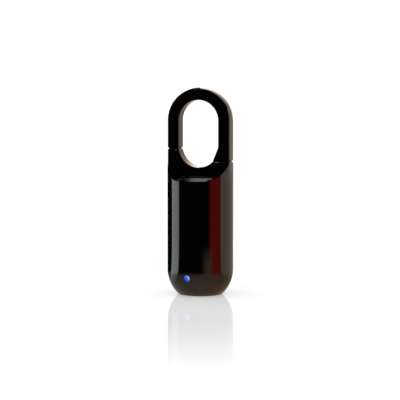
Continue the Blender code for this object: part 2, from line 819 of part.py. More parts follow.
# Two long screws that hold the frame and plate against the bosses under the roof.
head_high = frame_low + screw_head_height
drive_high = frame_low + screw_drive_depth
for number, side in ((1, -1), (2, 1)):
    turned("gearbox_screw_" + str(number),
           [(0, screw_top), (screw_shank_radius, screw_top), (screw_shank_radius, head_high),
            (screw_head_radius, head_high), (screw_head_radius, frame_low), (screw_drive_radius, frame_low),
            (screw_drive_radius, drive_high), (0, drive_high)],
           small_steps, steel, at=(0, side * screw_place))

# Motor: a can with a front boss, its plastic end cap and its shaft.
motor_hole = frame_top - shaft_sink
turned("motor_can",
       [(0, motor_hole), (shaft_radius + running_fit, motor_hole),
        (shaft_radius + running_fit, frame_top), (motor_boss_radius, frame_top),
        (motor_boss_radius, motor_top), (motor_radius - motor_edge, motor_top),
        (motor_radius, motor_top - motor_edge), (motor_radius, motor_low), (0, motor_low)],
       middle_steps, steel, at=(motor_position, 0))
motor_cap_high = motor_low - running_fit
turned("motor_end_cap",
       rod_outline(motor_radius, motor_cap_high - motor_cap_thickness, motor_cap_high, motor_edge),
       middle_steps, chip_black, at=(motor_position, 0))
turned("motor_shaft", rod_outline(shaft_radius, motor_hole + running_fit, plate_high - running_fit),
       small_steps, hard_steel, at=(motor_position, 0))


def involute(angle):
    """Involute of a pressure angle."""
    return math.tan(angle) - angle


def tooth_angle(teeth, radius):
    """Half the angle that a tooth takes at a radius, less half the backlash."""
    pitch = tooth_module * teeth / 2
    base = pitch * math.cos(pressure_angle)
    lean = math.acos(min(base / radius, 1))
    half = math.pi / (2 * teeth) - tooth_backlash / (2 * pitch)
    return half + involute(pressure_angle) - involute(lean)


def gear_outline(teeth, turn):
    """Outline of a spur gear with involute flanks, its first tooth at a turn."""
    pitch = tooth_module * teeth / 2
    base = pitch * math.cos(pressure_angle)
    tip = pitch + tooth_module * tooth_tip_share
    root = pitch - tooth_module * tooth_root_share
    start = max(base, root)
    radii = [root] + [start + (tip - start) * i / flank_steps for i in range(flank_steps + 1)]
    points = []
    for tooth in range(teeth):
        middle = turn + 2 * math.pi * tooth / teeth
        for radius in radii:
            spread = tooth_angle(teeth, max(radius, start))
            points.append((radius, middle - spread))
        for radius in reversed(radii):
            spread = tooth_angle(teeth, max(radius, start))
            points.append((radius, middle + spread))
    if root >= base:
        ends = (0, 2 * len(radii) - 1)
        points = [point for i, point in enumerate(points) if i % (2 * len(radii)) not in ends]
    return [(radius * math.cos(angle), radius * math.sin(angle)) for radius, angle in points]


def gear(name, teeth, turn, x, bore_size, paint):
    """A spur gear that lies level at a place on the X axis, with its bore."""
    loop = gear_outline(teeth, turn)
    made = lofted(name, [[(x + a, b, gear_low) for a, b in loop],
                         [(x + a, b, gear_top) for a, b in loop]], paint)
    cut(made, turned("gear_bore", rod_outline(bore_size, gear_low - beyond, gear_top + beyond),
                     hole_steps, at=(x, 0)))
    return made


gear("motor_pinion", pinion_teeth, 0, motor_position, shaft_radius + press_fit, brass)
screw_gear = gear("screw_gear", gear_teeth, math.pi / gear_teeth, screw_position,
                  thread_root_radius + press_fit, white_plastic)
web_outline = tube_outline(gear_hub_radius, gear_web_radius, gear_top - gear_web_depth, gear_top + beyond)
cut(screw_gear, turned("web", web_outline, hole_steps, closed=True, at=(screw_position, 0)))


def thread_radius(height, angle, spread):
    """Radius of a right-hand thread's surface at a height and angle, grown by a spread."""
    phase = (height - frame_low) / thread_lead - angle / (2 * math.pi)
    phase -= math.floor(phase)
    away = abs(phase - 0.5) * 2
    rise = (1 - thread_flat_share - away) / (1 - 2 * thread_flat_share)
    rise = min(max(rise, 0), 1)
    return thread_root_radius + (thread_crest_radius - thread_root_radius) * rise + spread


def thread_ring(height, spread):
    """One level loop of the thread's surface round the lead screw's axis."""
    loop = []
    for i in range(thread_steps):
        angle = 2 * math.pi * i / thread_steps
        radius = thread_radius(height, angle, spread)
        loop.append((screw_position + radius * math.cos(angle), radius * math.sin(angle), height))
    return loop


def plain_ring(height, radius):
    """One level round loop about the lead screw's axis."""
    return [(screw_position + radius * math.cos(2 * math.pi * i / thread_steps),
             radius * math.sin(2 * math.pi * i / thread_steps), height) for i in range(thread_steps)]


def thread_rings(low, high, spread):
    """Loops of the thread's surface from one height to another."""
    rows = max(int(round((high - low) / thread_lead * thread_rows_per_turn)), 1)
    return [thread_ring(low + (high - low) * i / rows, spread) for i in range(rows + 1)]


# Lead screw: two journals, the thread, and the plain seat of the gear, in one piece.
lofted("lead_screw",
       [plain_ring(frame_low + running_fit, journal_radius), plain_ring(thread_low, journal_radius)]
       + thread_rings(thread_low, frame_top, 0)
       + [plain_ring(gear_low, thread_root_radius),
          plain_ring(gear_top + running_fit, thread_root_radius),
          plain_ring(gear_top + running_fit, journal_radius),
          plain_ring(plate_high - running_fit, journal_radius)],
       hard_steel, smooth=True)

# Bolt carriage: a nut on the lead screw with an arm that sits in the bolt's groove.
carriage = block("bolt_carriage", (screw_position - nut_back, -nut_half_width, nut_low),
                 (screw_position + nut_half_width, nut_half_width, nut_high), brass)
join(carriage, block("arm", (screw_position, -arm_half_width, nut_low),
                     (arm_reach, arm_half_width, arm_high)))
cut(carriage, lofted("nut_thread", thread_rings(nut_low - beyond, nut_high + beyond, thread_clearance)))
seat_outline = rod_outline(bolt_neck_radius + running_fit, nut_low - beyond, arm_high + beyond)
cut(carriage, turned("groove_seat", seat_outline, hole_steps, at=(bolt_place, 0)))

# Locking bolt: a round bar with a chamfered tip and a groove above its D-shaped foot.
shoulder = arm_high + running_fit
locking_bolt = turned(
    "locking_bolt",
    [(0, bolt_top), (bolt_radius - bolt_tip_chamfer, bolt_top), (bolt_radius, bolt_top - bolt_tip_chamfer),
     (bolt_radius, shoulder), (bolt_neck_radius, shoulder), (bolt_neck_radius, foot_high),
     (bolt_radius, foot_high), (bolt_radius, foot_low), (0, foot_low)],
    small_steps, hard_steel, at=(bolt_place, 0))
cut(locking_bolt, block("foot_flat",
                        (bolt_place + bolt_neck_radius + bolt_foot_flat, -outer_reach, foot_low - beyond),
                        (outer_reach, outer_reach, foot_high + running_fit)))
locking_bolt.data.set_sharp_from_angle(angle=30 * degree)

# Bush and seal that the bolt slides in, at the top of the right stub.
turned("bolt_bush", tube_outline(bolt_radius + running_fit, bush_radius, bush_low, bush_top),
       middle_steps, bronze, closed=True, at=(bolt_place, 0))
seal_high = bush_low - running_fit
seal_low = seal_high - bolt_seal_height + running_fit
turned("bolt_seal", tube_outline(bolt_radius + running_fit, bush_radius, seal_low, seal_high),
       middle_steps, seal_rubber, closed=True, at=(bolt_place, 0))

# Pivot of the shackle in the left post: bush, wear washer, pin and retaining fork.
washer_high = left_underside - running_fit
washer_low = washer_high - washer_thickness
turned("wear_washer", tube_outline(pin_radius + running_fit, pivot_bush_radius, washer_low, washer_high),
       middle_steps, bronze, closed=True, at=(pivot_place, 0))
turned("pivot_bush", tube_outline(pin_radius + running_fit, pivot_bush_radius, pivot_bush_low,
                                  washer_low - running_fit),
       middle_steps, bronze, closed=True, at=(pivot_place, 0))
groove_high = fork_high + running_fit
groove_low = fork_low - running_fit
turned("pivot_pin",
       [(0, pin_top), (pin_radius - bolt_tip_chamfer, pin_top), (pin_radius, pin_top - bolt_tip_chamfer),
        (pin_radius, groove_high), (pin_groove_radius, groove_high), (pin_groove_radius, groove_low),
        (pin_radius, groove_low), (pin_radius, pin_low), (0, pin_low)],
       small_steps, hard_steel, at=(pivot_place, 0))
fork_hold = pin_groove_radius + running_fit
fork_loop = [(fork_tail - loose_fit, fork_half_width), (fork_end, fork_half_width), (fork_end, fork_hold)]
fork_loop += arc((pivot_place, 0), fork_hold, math.pi / 2, -math.pi / 2, corner_steps)
fork_loop += [(fork_end, -fork_hold), (fork_end, -fork_half_width),
              (fork_tail - loose_fit, -fork_half_width)]
fork = lofted("retaining_fork", [[(x, y, fork_low) for x, y in fork_loop],
                                 [(x, y, fork_high) for x, y in fork_loop]], steel)
join(fork, block("fork_tab", (tab_middle - fork_tab_thickness / 2, -fork_tab_half_width, bearing_plate_low),
                 (tab_middle + fork_tab_thickness / 2, fork_tab_half_width, fork_high - running_fit)))


# Shackle: the loop's upper part, one section swept up the left leg, over the round arch
# and down the right leg, whose inner face runs straight down to the lower seam.
def leg_section(inner, inset):
    """Section of a leg as (distance from the middle, depth), drawn in by an inset."""
    half = plate_half - inset
    turn_radius = max(edge_round - inset, press_fit)
    low = inner + inset + turn_radius
    points = arc((low, half - turn_radius), turn_radius, math.pi / 2, math.pi, round_steps)
    points += arc((low, turn_radius - half), turn_radius, -math.pi, -math.pi / 2, round_steps)
    edge = math.sqrt(body_radius ** 2 - half ** 2) - inset
    points.append((edge - turn_radius, -half))
    depth = half - turn_radius
    for i in range(outer_arc_steps + 1):
        y = -depth + 2 * depth * i / outer_arc_steps
        points.append((math.sqrt(body_radius ** 2 - y ** 2) - inset, y))
    points.append((edge - turn_radius, half))
    return points


def right_leg_inner(height):
    """Inner face of the right leg: straight from the low half circle's top to the seam."""
    share = (loop_low_centre - height) / (loop_low_centre - right_seam_height)
    return loop_half + (loop_half_at(right_seam_height) - loop_half) * min(max(share, 0), 1)


sections = [[(-r, y, left_underside) for r, y in leg_section(loop_half, seam_chamfer)],
            [(-r, y, left_underside + seam_chamfer) for r, y in leg_section(loop_half, 0)]]
for i in range(arch_steps + 1):
    angle = math.pi * (1 - i / arch_steps)
    sections.append([(r * math.cos(angle), y, arch_centre + r * math.sin(angle))
                     for r, y in leg_section(loop_half, 0)])
sections.append([(r, y, loop_low_centre) for r, y in leg_section(loop_half, 0)])
chamfer_high = right_underside + seam_chamfer
sections.append([(r, y, chamfer_high) for r, y in leg_section(right_leg_inner(chamfer_high), 0)])
last_inner = right_leg_inner(right_underside)
sections.append([(r, y, right_underside) for r, y in leg_section(last_inner, seam_chamfer)])
shackle = lofted("shackle", sections, black_lacquer, smooth=True)
pin_seat = rod_outline(pin_radius + press_fit, left_underside - beyond, pin_top + press_fit)
cut(shackle, turned("pin_seat", pin_seat, middle_steps, at=(pivot_place, 0)))
sleeve_seat = rod_outline(sleeve_radius + press_fit, right_underside - beyond, sleeve_top + press_fit)
cut(shackle, turned("sleeve_seat", sleeve_seat, middle_steps, at=(bolt_place, 0)))
shackle.data.set_sharp_from_angle(angle=30 * degree)
turned("lock_socket_sleeve",
       tube_outline(sleeve_bore_radius, sleeve_radius, right_underside + running_fit, sleeve_top),
       middle_steps, hard_steel, closed=True, at=(bolt_place, 0))

# Origins: every piece that turns or slides has its origin on the axis of its joint, and
# every other piece has it at the foot of its own axis.
origins = {
    "shackle": (pivot_place, 0, left_underside),
    "pivot_pin": (pivot_place, 0, left_underside),
    "lock_socket_sleeve": (pivot_place, 0, left_underside),
    "base_cap": (0, 0, cap_seam_height),
    "base_cap_seal": (0, 0, cap_seam_height),
    "battery_spring": (0, 0, cap_seam_height),
    "lead_screw": (screw_position, 0, gear_low),
    "screw_gear": (screw_position, 0, gear_low),
    "motor_shaft": (motor_position, 0, gear_low),
    "motor_pinion": (motor_position, 0, gear_low),
    "bolt_carriage": (bolt_place, 0, nut_low),
    "locking_bolt": (bolt_place, 0, nut_low),
    "battery_cell_lower": (0, cell_offset, cell_low),
    "battery_cell_upper": (0, cell_offset, cell_low + cell_length + cell_space),
    "battery_top_contact": (0, cell_offset, contact_low),
    "battery_carrier": (0, 0, carrier_low),
    "circuit_board": (0, board_front, board_low),
    "control_chip": (0, board_front, chip_middle),
    "radio_module": (0, board_front, radio_middle),
    "status_led": (0, board_front, light_height),
    "light_pipe": (0, 0, light_height),
    "gearbox_frame": (0, 0, frame_low),
    "gearbox_screw_1": (0, -screw_place, frame_low),
    "gearbox_screw_2": (0, screw_place, frame_low),
    "bearing_plate": (0, 0, bearing_plate_low),
    "motor_can": (motor_position, 0, motor_low),
    "motor_end_cap": (motor_position, 0, motor_low),
    "bolt_bush": (bolt_place, 0, bush_low),
    "bolt_seal": (bolt_place, 0, seal_low),
    "pivot_bush": (pivot_place, 0, pivot_bush_low),
    "wear_washer": (pivot_place, 0, washer_low),
    "retaining_fork": (pivot_place, 0, fork_low),
}
for name, place in origins.items():
    piece = bpy.data.objects[name]
    piece.data.transform(Matrix.Translation([-value for value in place]))
    piece.location = place
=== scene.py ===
import math

import bmesh
import bpy
import numpy as np
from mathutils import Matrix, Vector


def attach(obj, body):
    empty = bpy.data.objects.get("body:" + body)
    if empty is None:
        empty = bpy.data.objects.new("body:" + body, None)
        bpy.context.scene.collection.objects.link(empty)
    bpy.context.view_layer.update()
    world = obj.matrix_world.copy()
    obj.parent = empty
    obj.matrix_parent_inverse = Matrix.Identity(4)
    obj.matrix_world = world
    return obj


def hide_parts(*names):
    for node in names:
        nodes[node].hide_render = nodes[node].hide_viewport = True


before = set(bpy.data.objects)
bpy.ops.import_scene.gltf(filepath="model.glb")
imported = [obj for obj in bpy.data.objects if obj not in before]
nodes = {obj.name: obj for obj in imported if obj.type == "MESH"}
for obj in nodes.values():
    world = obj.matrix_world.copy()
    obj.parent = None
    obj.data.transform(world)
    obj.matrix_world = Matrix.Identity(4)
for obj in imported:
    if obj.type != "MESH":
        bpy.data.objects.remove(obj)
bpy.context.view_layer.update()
mm = 0.001

# Casing: the die-cast metal body, a round bar with a bullet-shaped foot and a flat
# milled on front and back that leaves the plate of the loop.  It is lacquered in
# high-gloss black, and its edges are broken by 0.4 mm at the most.
body_radius = 12.0 * mm
foot_height = 9.3 * mm
foot_face_radius = 7.85 * mm
casing_low = 2.66 * mm
plate_half = 2.4 * mm
bore_top = 39.6 * mm
roof_thickness = 3.2 * mm
bridge_thickness = 3.65 * mm
flat_corner = 6.9 * mm
ledge_slope = math.tan(math.radians(4.8))
loop_half = 7.56 * mm
loop_straight = 9.47 * mm
seam_gap = 0.03 * mm
ledge_height = bore_top + roof_thickness
loop_low_centre = ledge_height + bridge_thickness + loop_half
arch_centre = loop_low_centre + loop_straight
left_seam_height = loop_low_centre - loop_half + 6.81 * mm
right_seam_height = loop_low_centre - loop_half + 2.3 * mm
post_top = left_seam_height - seam_gap / 2
stub_top = right_seam_height - seam_gap / 2
seam_chamfer = 0.4 * mm
stub_break = 0.15 * mm
seam_notch = 0.5 * mm
seam_front = 0.03 * mm
seam_front_run = 0.8 * mm
stub_outer_run = 3.2 * mm
edge_round = 0.15 * mm
upright_round = 0.12 * mm
ledge_fillet = 0.28 * mm
panel_edge = 11.3 * mm
side_columns = 12
corner_columns = 7
edge_rows = 6
seam_roundness = 0.25
weld_reach = 0.0012 * mm
sliver_reach = 0.0005 * mm

foot_offset = (body_radius ** 2 - foot_face_radius ** 2 - foot_height ** 2) / (
    2 * (body_radius - foot_face_radius))


def foot_radius(height):
    """Radius of the foot: a circular arc, upright where it meets the straight body."""
    rise = np.maximum(foot_height - height, 0)
    return foot_offset + np.sqrt((body_radius - foot_offset) ** 2 - rise ** 2)


def build(name, grids, flat_faces=()):
    """Weld surfaces given as (points[rows, columns, 3], closed round) into one mesh.

    Each grid's quads join neighbouring rows and columns; coincident points are merged,
    the faces are turned outwards, and flat_faces are closed loops filled by one face.
    """
    points = []
    faces = []
    start = 0
    for grid, closed in grids:
        rows, columns = grid.shape[:2]
        index = start + np.arange(rows * columns).reshape(rows, columns)
        right = np.roll(index, -1, axis=1) if closed else index[:, 1:]
        left = index if closed else index[:, :-1]
        quads = np.stack((left[:-1], right[:-1], right[1:], left[1:]), axis=-1)
        faces += quads.reshape(-1, 4).tolist()
        points.append(grid.reshape(-1, 3))
        start += rows * columns
    for loop in flat_faces:
        faces.append(list(range(start, start + len(loop))))
        points.append(np.asarray(loop))
        start += len(loop)
    mesh = bpy.data.meshes.new(name)
    mesh.from_pydata(np.concatenate(points).tolist(), [], faces)
    work = bmesh.new()
    work.from_mesh(mesh)
    bmesh.ops.remove_doubles(work, verts=work.verts, dist=weld_reach)
    bmesh.ops.dissolve_degenerate(work, edges=work.edges, dist=sliver_reach)
    bmesh.ops.recalc_face_normals(work, faces=work.faces)
    work.to_mesh(mesh)
    work.free()
    made = bpy.data.objects.new(name, mesh)
    bpy.context.scene.collection.objects.link(made)
    mesh.polygons.foreach_set("use_smooth", np.ones(len(mesh.polygons), bool))
    return made


def carve(target, tool, how="DIFFERENCE"):
    """Cut or join a helper shape, apply the result and drop the helper."""
    step = target.modifiers.new("carve", "BOOLEAN")
    step.operation = how
    step.solver = "EXACT"
    step.object = tool
    bpy.context.view_layer.update()
    graph = bpy.context.evaluated_depsgraph_get()
    mesh = bpy.data.meshes.new_from_object(target.evaluated_get(graph))
    target.modifiers.clear()
    old = target.data
    target.data = mesh
    bpy.data.meshes.remove(old)
    bpy.data.objects.remove(tool, do_unlink=True)


def edge_blend(roundness):
    """Shares (inward, across) of each row of a broken edge, which passes from a flat
    chamfer at roundness 0 to a quarter circle at 1; roundness may differ by column.
    """
    share = np.linspace(0, 1, edge_rows + 1).reshape(-1, *[1] * np.ndim(roundness))
    inward = roundness * np.sin(share * math.pi / 2) + (1 - roundness) * share
    across = roundness * (1 - np.cos(share * math.pi / 2)) + (1 - roundness) * share
    return inward, across


def upright_corner():
    """Plan points from the panel's edge round the upright corner to the side column.

    A straight bit of the panel, an arc of the upright rounding that is tangent to the
    panel and to the round body, and a last bit of the round body.
    """
    inner = body_radius - upright_round
    centre_y = -(plate_half - upright_round)
    centre_x = math.sqrt(inner ** 2 - centre_y ** 2)
    turn = np.linspace(-math.pi / 2, math.atan2(centre_y, centre_x), corner_columns)
    x = centre_x + upright_round * np.cos(turn)
    y = centre_y + upright_round * np.sin(turn)
    return np.concatenate(([panel_edge], x)), np.concatenate(([-plate_half], y))


corner_x, corner_y = upright_corner()
side_y = np.linspace(-(plate_half - seam_chamfer), plate_half - seam_chamfer, side_columns + 1)
side_x = np.sqrt(body_radius ** 2 - side_y ** 2)


def seam_calm(distance, inner_end, outer_run=seam_front_run):
    """Share of calm along a seam: 0 at its two notched ends, 1 along the plain front."""
    near = np.minimum((panel_edge - distance) / outer_run, (distance - inner_end) / seam_front_run)
    return np.clip(near, 0, 1)


post_columns = 22
stub_columns = 28
arc_columns = 72
ease_columns = 10
post_inner_azimuth = 42.4
stub_inner_azimuth = 30.0
outer_azimuth = math.degrees(math.asin(panel_edge / body_radius))


def rim_path():
    """Front view of the casing's upper rim, left to right, with its outward normals.

    The top of the left post, its broken inner edge, the low half circle of the loop's
    opening, the broken inner edge of the right stub and the stub's top.  Both tops have
    columns at even azimuths of the round body, and the arc's break eases in and out.
    """
    def half_at(height):
        return math.sqrt(loop_half ** 2 - (loop_low_centre - height) ** 2)

    left = np.radians(np.linspace(outer_azimuth, post_inner_azimuth, post_columns))
    right = np.radians(np.linspace(stub_inner_azimuth, outer_azimuth, stub_columns))
    left_low = post_top - seam_chamfer
    right_low = stub_top - stub_break
    start = math.atan2(left_low - loop_low_centre, -half_at(left_low)) + 2 * math.pi
    end = math.atan2(right_low - loop_low_centre, half_at(right_low)) + 2 * math.pi
    turn = np.linspace(start, end, arc_columns)
    x = np.concatenate((-body_radius * np.sin(left), [-(half_at(post_top) + seam_chamfer)],
                        loop_half * np.cos(turn), [half_at(stub_top) + stub_break],
                        body_radius * np.sin(right)))
    z = np.concatenate((np.full(post_columns + 1, post_top), loop_low_centre + loop_half * np.sin(turn),
                        np.full(stub_columns + 1, stub_top)))
    step_x = np.gradient(x)
    step_z = np.gradient(z)
    size = np.hypot(step_x, step_z)
    normal_x, normal_z = -step_z / size, step_x / size
    normal_x[[0, -1]] = 0
    normal_z[[0, -1]] = 1
    column = np.arange(len(x))
    arc_end = post_columns + 1 + arc_columns
    on_arc = (column > post_columns) & (column < arc_end)
    ease = np.minimum(1, np.minimum(column - post_columns, arc_end - column).clip(0) / ease_columns)
    inner_end = np.where(x < 0, half_at(post_top) + seam_chamfer, half_at(stub_top) + stub_break)
    outer_run = np.where(x < 0, seam_front_run, stub_outer_run)
    calm = seam_calm(np.abs(x), inner_end, outer_run) * (1 - on_arc)
    inset = seam_chamfer + (edge_round - seam_chamfer) * ease * on_arc
    inset = inset + (seam_front - seam_chamfer) * calm
    roundness = seam_roundness + (1 - seam_roundness) * ease * on_arc
    return x, z, normal_x, normal_z, inset, roundness


rim_x, rim_z, rim_normal_x, rim_normal_z, rim_inset, rim_roundness = rim_path()
# the panel's columns keep their order and end at the panel's edge
panel_x = np.maximum.accumulate(rim_x - rim_inset * rim_normal_x)
panel_x = np.minimum(panel_x, panel_edge)
panel_z = rim_z - rim_inset * rim_normal_z


def recess_floor(x, depth):
    """Height of the flat's floor: level in the middle, a round corner at each side."""
    spread = ledge_slope * (depth - plate_half)
    away = np.maximum(np.abs(x) - (body_radius - flat_corner), 0)
    radius = flat_corner + spread
    return ledge_height + flat_corner - np.sqrt(np.maximum(radius ** 2 - away ** 2, 0))


turn_rows = 9
shortest_run = 1e-9


def quadratic(first, corner, last):
    """Points of the quadratic curve from first to last that heads for the corner."""
    share = np.linspace(0, 1, turn_rows)[:, None, None]
    return (1 - share) ** 2 * first + 2 * share * (1 - share) * corner + share ** 2 * last


def rounded_turn(before, corner, after, reach):
    """A quadratic curve that rounds the corner between two runs, from reach before it."""
    def towards(end):
        run = end - corner
        size = np.maximum(np.linalg.norm(run, axis=-1, keepdims=True), shortest_run)
        return corner + run / size * reach[:, None]

    return quadratic(towards(before), corner, towards(after))


wall_low = 38.0 * mm
wall_rows = 8
panel_rows = 12
ledge_share = 0.42
panel_share = 0.5


def front_wall(x, inner_y, top_z):
    """Columns of the casing's front: up the round side, over the ledge, up the panel.

    Each column keeps its x.  Its (y, z) run is a straight side, a rounded outer edge,
    the ledge's slope, a fillet and the panel, worked out for all columns at once.
    """
    outer_y = np.sqrt(body_radius ** 2 - x ** 2)
    inner_y = np.minimum(np.abs(inner_y), outer_y)
    low = np.stack((outer_y, np.full_like(x, wall_low)), -1)
    rim = np.stack((outer_y, recess_floor(x, outer_y)), -1)
    root = np.stack((inner_y, recess_floor(x, inner_y)), -1)
    top = np.stack((inner_y, top_z), -1)
    run = np.linalg.norm(rim - root, axis=-1)
    outer_reach = np.minimum(edge_round, ledge_share * run)
    fillet_reach = np.minimum(ledge_fillet, ledge_share * run)
    fillet_reach = np.minimum(fillet_reach, panel_share * (top[:, 1] - root[:, 1]))
    outer = rounded_turn(low, rim, root, outer_reach)
    fillet = rounded_turn(rim, root, top, fillet_reach)
    rise = np.linspace(0, 1, wall_rows)[:, None, None]
    side = low + (outer[0] - low) * rise[:-1]
    ledge = outer[-1] + (fillet[0] - outer[-1]) * rise[1:-1]
    panel = fillet[-1] + (top - fillet[-1]) * np.linspace(0, 1, panel_rows)[1:, None, None]
    path = np.concatenate((side, outer, ledge, fillet, panel))
    return np.stack((np.broadcast_to(x, path.shape[:2]), -path[..., 0], path[..., 1]), -1)


flip_x = np.array([-1, 1, 1])
flip_y = np.array([1, -1, 1])


def mirror_y(grid):
    """The same surface on the back, with its columns in the opposite order."""
    return grid[:, ::-1] * flip_y


panel = front_wall(panel_x, np.full_like(panel_x, plate_half), panel_z)
right_corner = front_wall(corner_x, corner_y, np.full_like(corner_x, stub_top - seam_chamfer))
left_corner = front_wall(corner_x, corner_y, np.full_like(corner_x, post_top - seam_chamfer))


def side_wall(corner):
    """Upright columns of the round side, at the heights of the last corner column."""
    rows = corner.shape[0]
    return np.stack((np.tile(side_x, (rows, 1)), np.tile(side_y, (rows, 1)),
                     np.tile(corner[:, -1:, 2], (1, side_columns + 1))), -1)


right_side = side_wall(right_corner)
left_side = side_wall(left_corner)
around = np.concatenate((
    panel, right_corner[:, 1:], right_side, mirror_y(right_corner[:, 1:]), mirror_y(panel),
    left_corner[:, 1:] * flip_x * flip_y, (left_side * flip_x)[:, ::-1],
    (left_corner[:, 1:] * flip_x)[:, ::-1]), axis=1)

straight_rows = 9
foot_rows = 40
foot_heights = np.concatenate((np.linspace(wall_low, foot_height, straight_rows)[:-1],
                               np.linspace(foot_height, casing_low, foot_rows)))
turn = np.arctan2(around[0, :, 1], around[0, :, 0])
foot = foot_radius(foot_heights)[:, None]
foot_wall = np.stack((foot * np.cos(turn), foot * np.sin(turn),
                      np.repeat(foot_heights[:, None], len(turn), axis=1)), -1)


def rim_belt():
    """The casing's rim across its thickness: broken front edge, flat run, back edge."""
    front = np.stack((panel_x, np.full_like(panel_x, -plate_half), panel_z), -1)
    rim = np.stack((rim_x, -(plate_half - rim_inset), rim_z), -1)
    inward, across = edge_blend(rim_roundness)
    edge = front + (rim - front) * np.stack((inward, across, inward), -1)
    share = np.linspace(1, -1, side_columns + 1)[:, None]
    run = np.stack((np.tile(rim_x, (side_columns + 1, 1)), rim[:, 1] * share,
                    np.tile(rim_z, (side_columns + 1, 1))), -1)
    return np.concatenate((edge, run[1:-1], edge[::-1] * flip_y))


def rim_end(top, mirror):
    """The round outer end of a post's top: broken edge, then flat in to the belt."""
    corner = np.stack((corner_x, corner_y, np.full_like(corner_x, top - seam_chamfer)), -1)
    side = np.stack((side_x, side_y, np.full_like(side_x, top - seam_chamfer)), -1)
    ring = np.concatenate((corner, side, (corner * flip_y)[::-1]))
    point = np.array([panel_edge, side_y[0], top])
    inner = np.stack((side_x - seam_notch, side_y, np.full_like(side_x, top)), -1)
    near = np.tile(point, (len(corner), 1))
    goal = np.concatenate((near, inner, near * flip_y))
    inward, across = edge_blend(seam_roundness)
    edge = ring + (goal - ring) * np.stack((across, across, inward), -1)[:, None]
    # at the panel's own edge the broken edge runs as the belt's does
    edge[:, 0] = np.stack((np.full_like(across, panel_edge), -plate_half + seam_chamfer * across,
                           top - seam_chamfer + seam_chamfer * inward), -1)
    edge[:, -1] = edge[:, 0] * flip_y
    last = goal.copy()
    last[len(corner):len(corner) + len(side), 0] = panel_edge
    grid = np.concatenate((edge, last[None]))
    return grid * flip_x if mirror else grid


casing = build("lacquered_casing", [
    (around, True), (foot_wall, True), (rim_belt(), False),
    (rim_end(stub_top, False), False), (rim_end(post_top, True), False)], [foot_wall[-1]])


def turned(name, profile, steps, centre=(0, 0)):
    """A closed shape: rows of (radius, height) carried once round an upright axis.

    Rows of radius zero close on the axis.
    """
    profile = np.asarray(profile, float)
    turn = np.arange(steps) * 2 * math.pi / steps
    x = centre[0] + profile[:, :1] * np.cos(turn)
    y = centre[1] + profile[:, :1] * np.sin(turn)
    z = np.repeat(profile[:, 1:], steps, axis=1)
    return build(name, [(np.stack((x, y, z), axis=-1), True)])


def stepped(name, top, rungs, steps, centre):
    """A stepped cutter from its top down: each rung is a radius and the height it ends at."""
    rows = [(0, top)]
    for radius, low in rungs:
        rows += [(radius, rows[-1][1]), (radius, low)]
    return turned(name, rows + [(0, rows[-1][1])], steps, centre)


cut_beyond = 1 * mm
bore_radius = 8.9 * mm
bore_mouth = 9.2 * mm
bore_facets = 96
lug_groove_low = 4.2 * mm
lug_groove_high = 5.15 * mm
lug_groove_radius = 9.6 * mm
carve(casing, turned("bore", [
    (0, bore_top), (bore_radius, bore_top), (bore_radius, lug_groove_high),
    (lug_groove_radius, lug_groove_high), (lug_groove_radius, lug_groove_low), (bore_radius, lug_groove_low),
    (bore_radius, casing_low + bore_mouth - bore_radius), (bore_mouth, casing_low),
    (bore_mouth, casing_low - cut_beyond), (0, casing_low - cut_beyond)], bore_facets))

hole_facets = 48
bolt_centre = (9.0 * mm, 0)
bolt_bush_radius = 1.73 * mm
bolt_bush_low = stub_top - 4.45 * mm
bolt_hole_radius = 1.3 * mm
bolt_hole_low = 28.5 * mm
carve(casing, stepped("bolt_channel", stub_top + cut_beyond, [
    (bolt_bush_radius, bolt_bush_low), (bolt_hole_radius, bolt_hole_low)], hole_facets, bolt_centre))

pivot_centre = (-9.75 * mm, 0)
pivot_bush_radius = 1.75 * mm
pivot_bush_low = ledge_height + 0.8 * mm
pin_hole_radius = 1.36 * mm
pin_hole_low = 37.9 * mm
carve(casing, stepped("pivot_hole", post_top + cut_beyond, [
    (pivot_bush_radius, pivot_bush_low), (pin_hole_radius, pin_hole_low)], hole_facets, pivot_centre))

light_height = 6.8 * mm
light_turn = math.radians(-6)
light_radius = 1.14 * mm
light_along = Vector((math.sin(light_turn), -math.cos(light_turn), 0))
light_side = Vector((math.cos(light_turn), math.sin(light_turn), 0))
light_hole_gap = 0.03 * mm
light_facets = 72
light_rings = 8
light_face_share = 0.9
light_edge_shares = [0.94, 0.97, 0.99, 1.0]
light_edge_drops = [0.12, 0.35, 0.65, 1.0]


def light_rod(name, radius, proud, inner):
    """A level rod whose outer end is a polar grid laid on the foot's surface.

    A point at side offset u and height offset v lies where the foot's circle at that
    height meets it, pushed out by proud and let down at the rim by up to twice that.
    """
    share = np.concatenate((np.linspace(0, light_face_share, light_rings), light_edge_shares))
    drop = np.concatenate((np.zeros(light_rings), light_edge_drops))
    turn = np.arange(light_facets) * 2 * math.pi / light_facets
    u = radius * share[:, None] * np.cos(turn)
    v = radius * share[:, None] * np.sin(turn)
    out = np.sqrt(foot_radius(light_height + v) ** 2 - u ** 2) + proud * (1 - 2 * drop[:, None])
    u = np.concatenate((u, u[-1:], np.zeros((1, light_facets))))
    v = np.concatenate((v, v[-1:], np.zeros((1, light_facets))))
    out = np.concatenate((out, np.full((2, light_facets), inner)))
    grid = out[..., None] * np.array(light_along) + u[..., None] * np.array(light_side)
    grid[..., 2] += light_height + v
    return build(name, [(grid, True)])


carve(casing, light_rod("light_hole", light_radius + light_hole_gap, cut_beyond, bore_radius - cut_beyond))


def linear(code):
    """An sRGB hex colour as linear red, green, blue and alpha."""
    channels = [int(code[i:i + 2], 16) / 255 for i in (1, 3, 5)]
    return (*[c / 12.92 if c <= 0.04045 else ((c + 0.055) / 1.055) ** 2.4 for c in channels], 1)


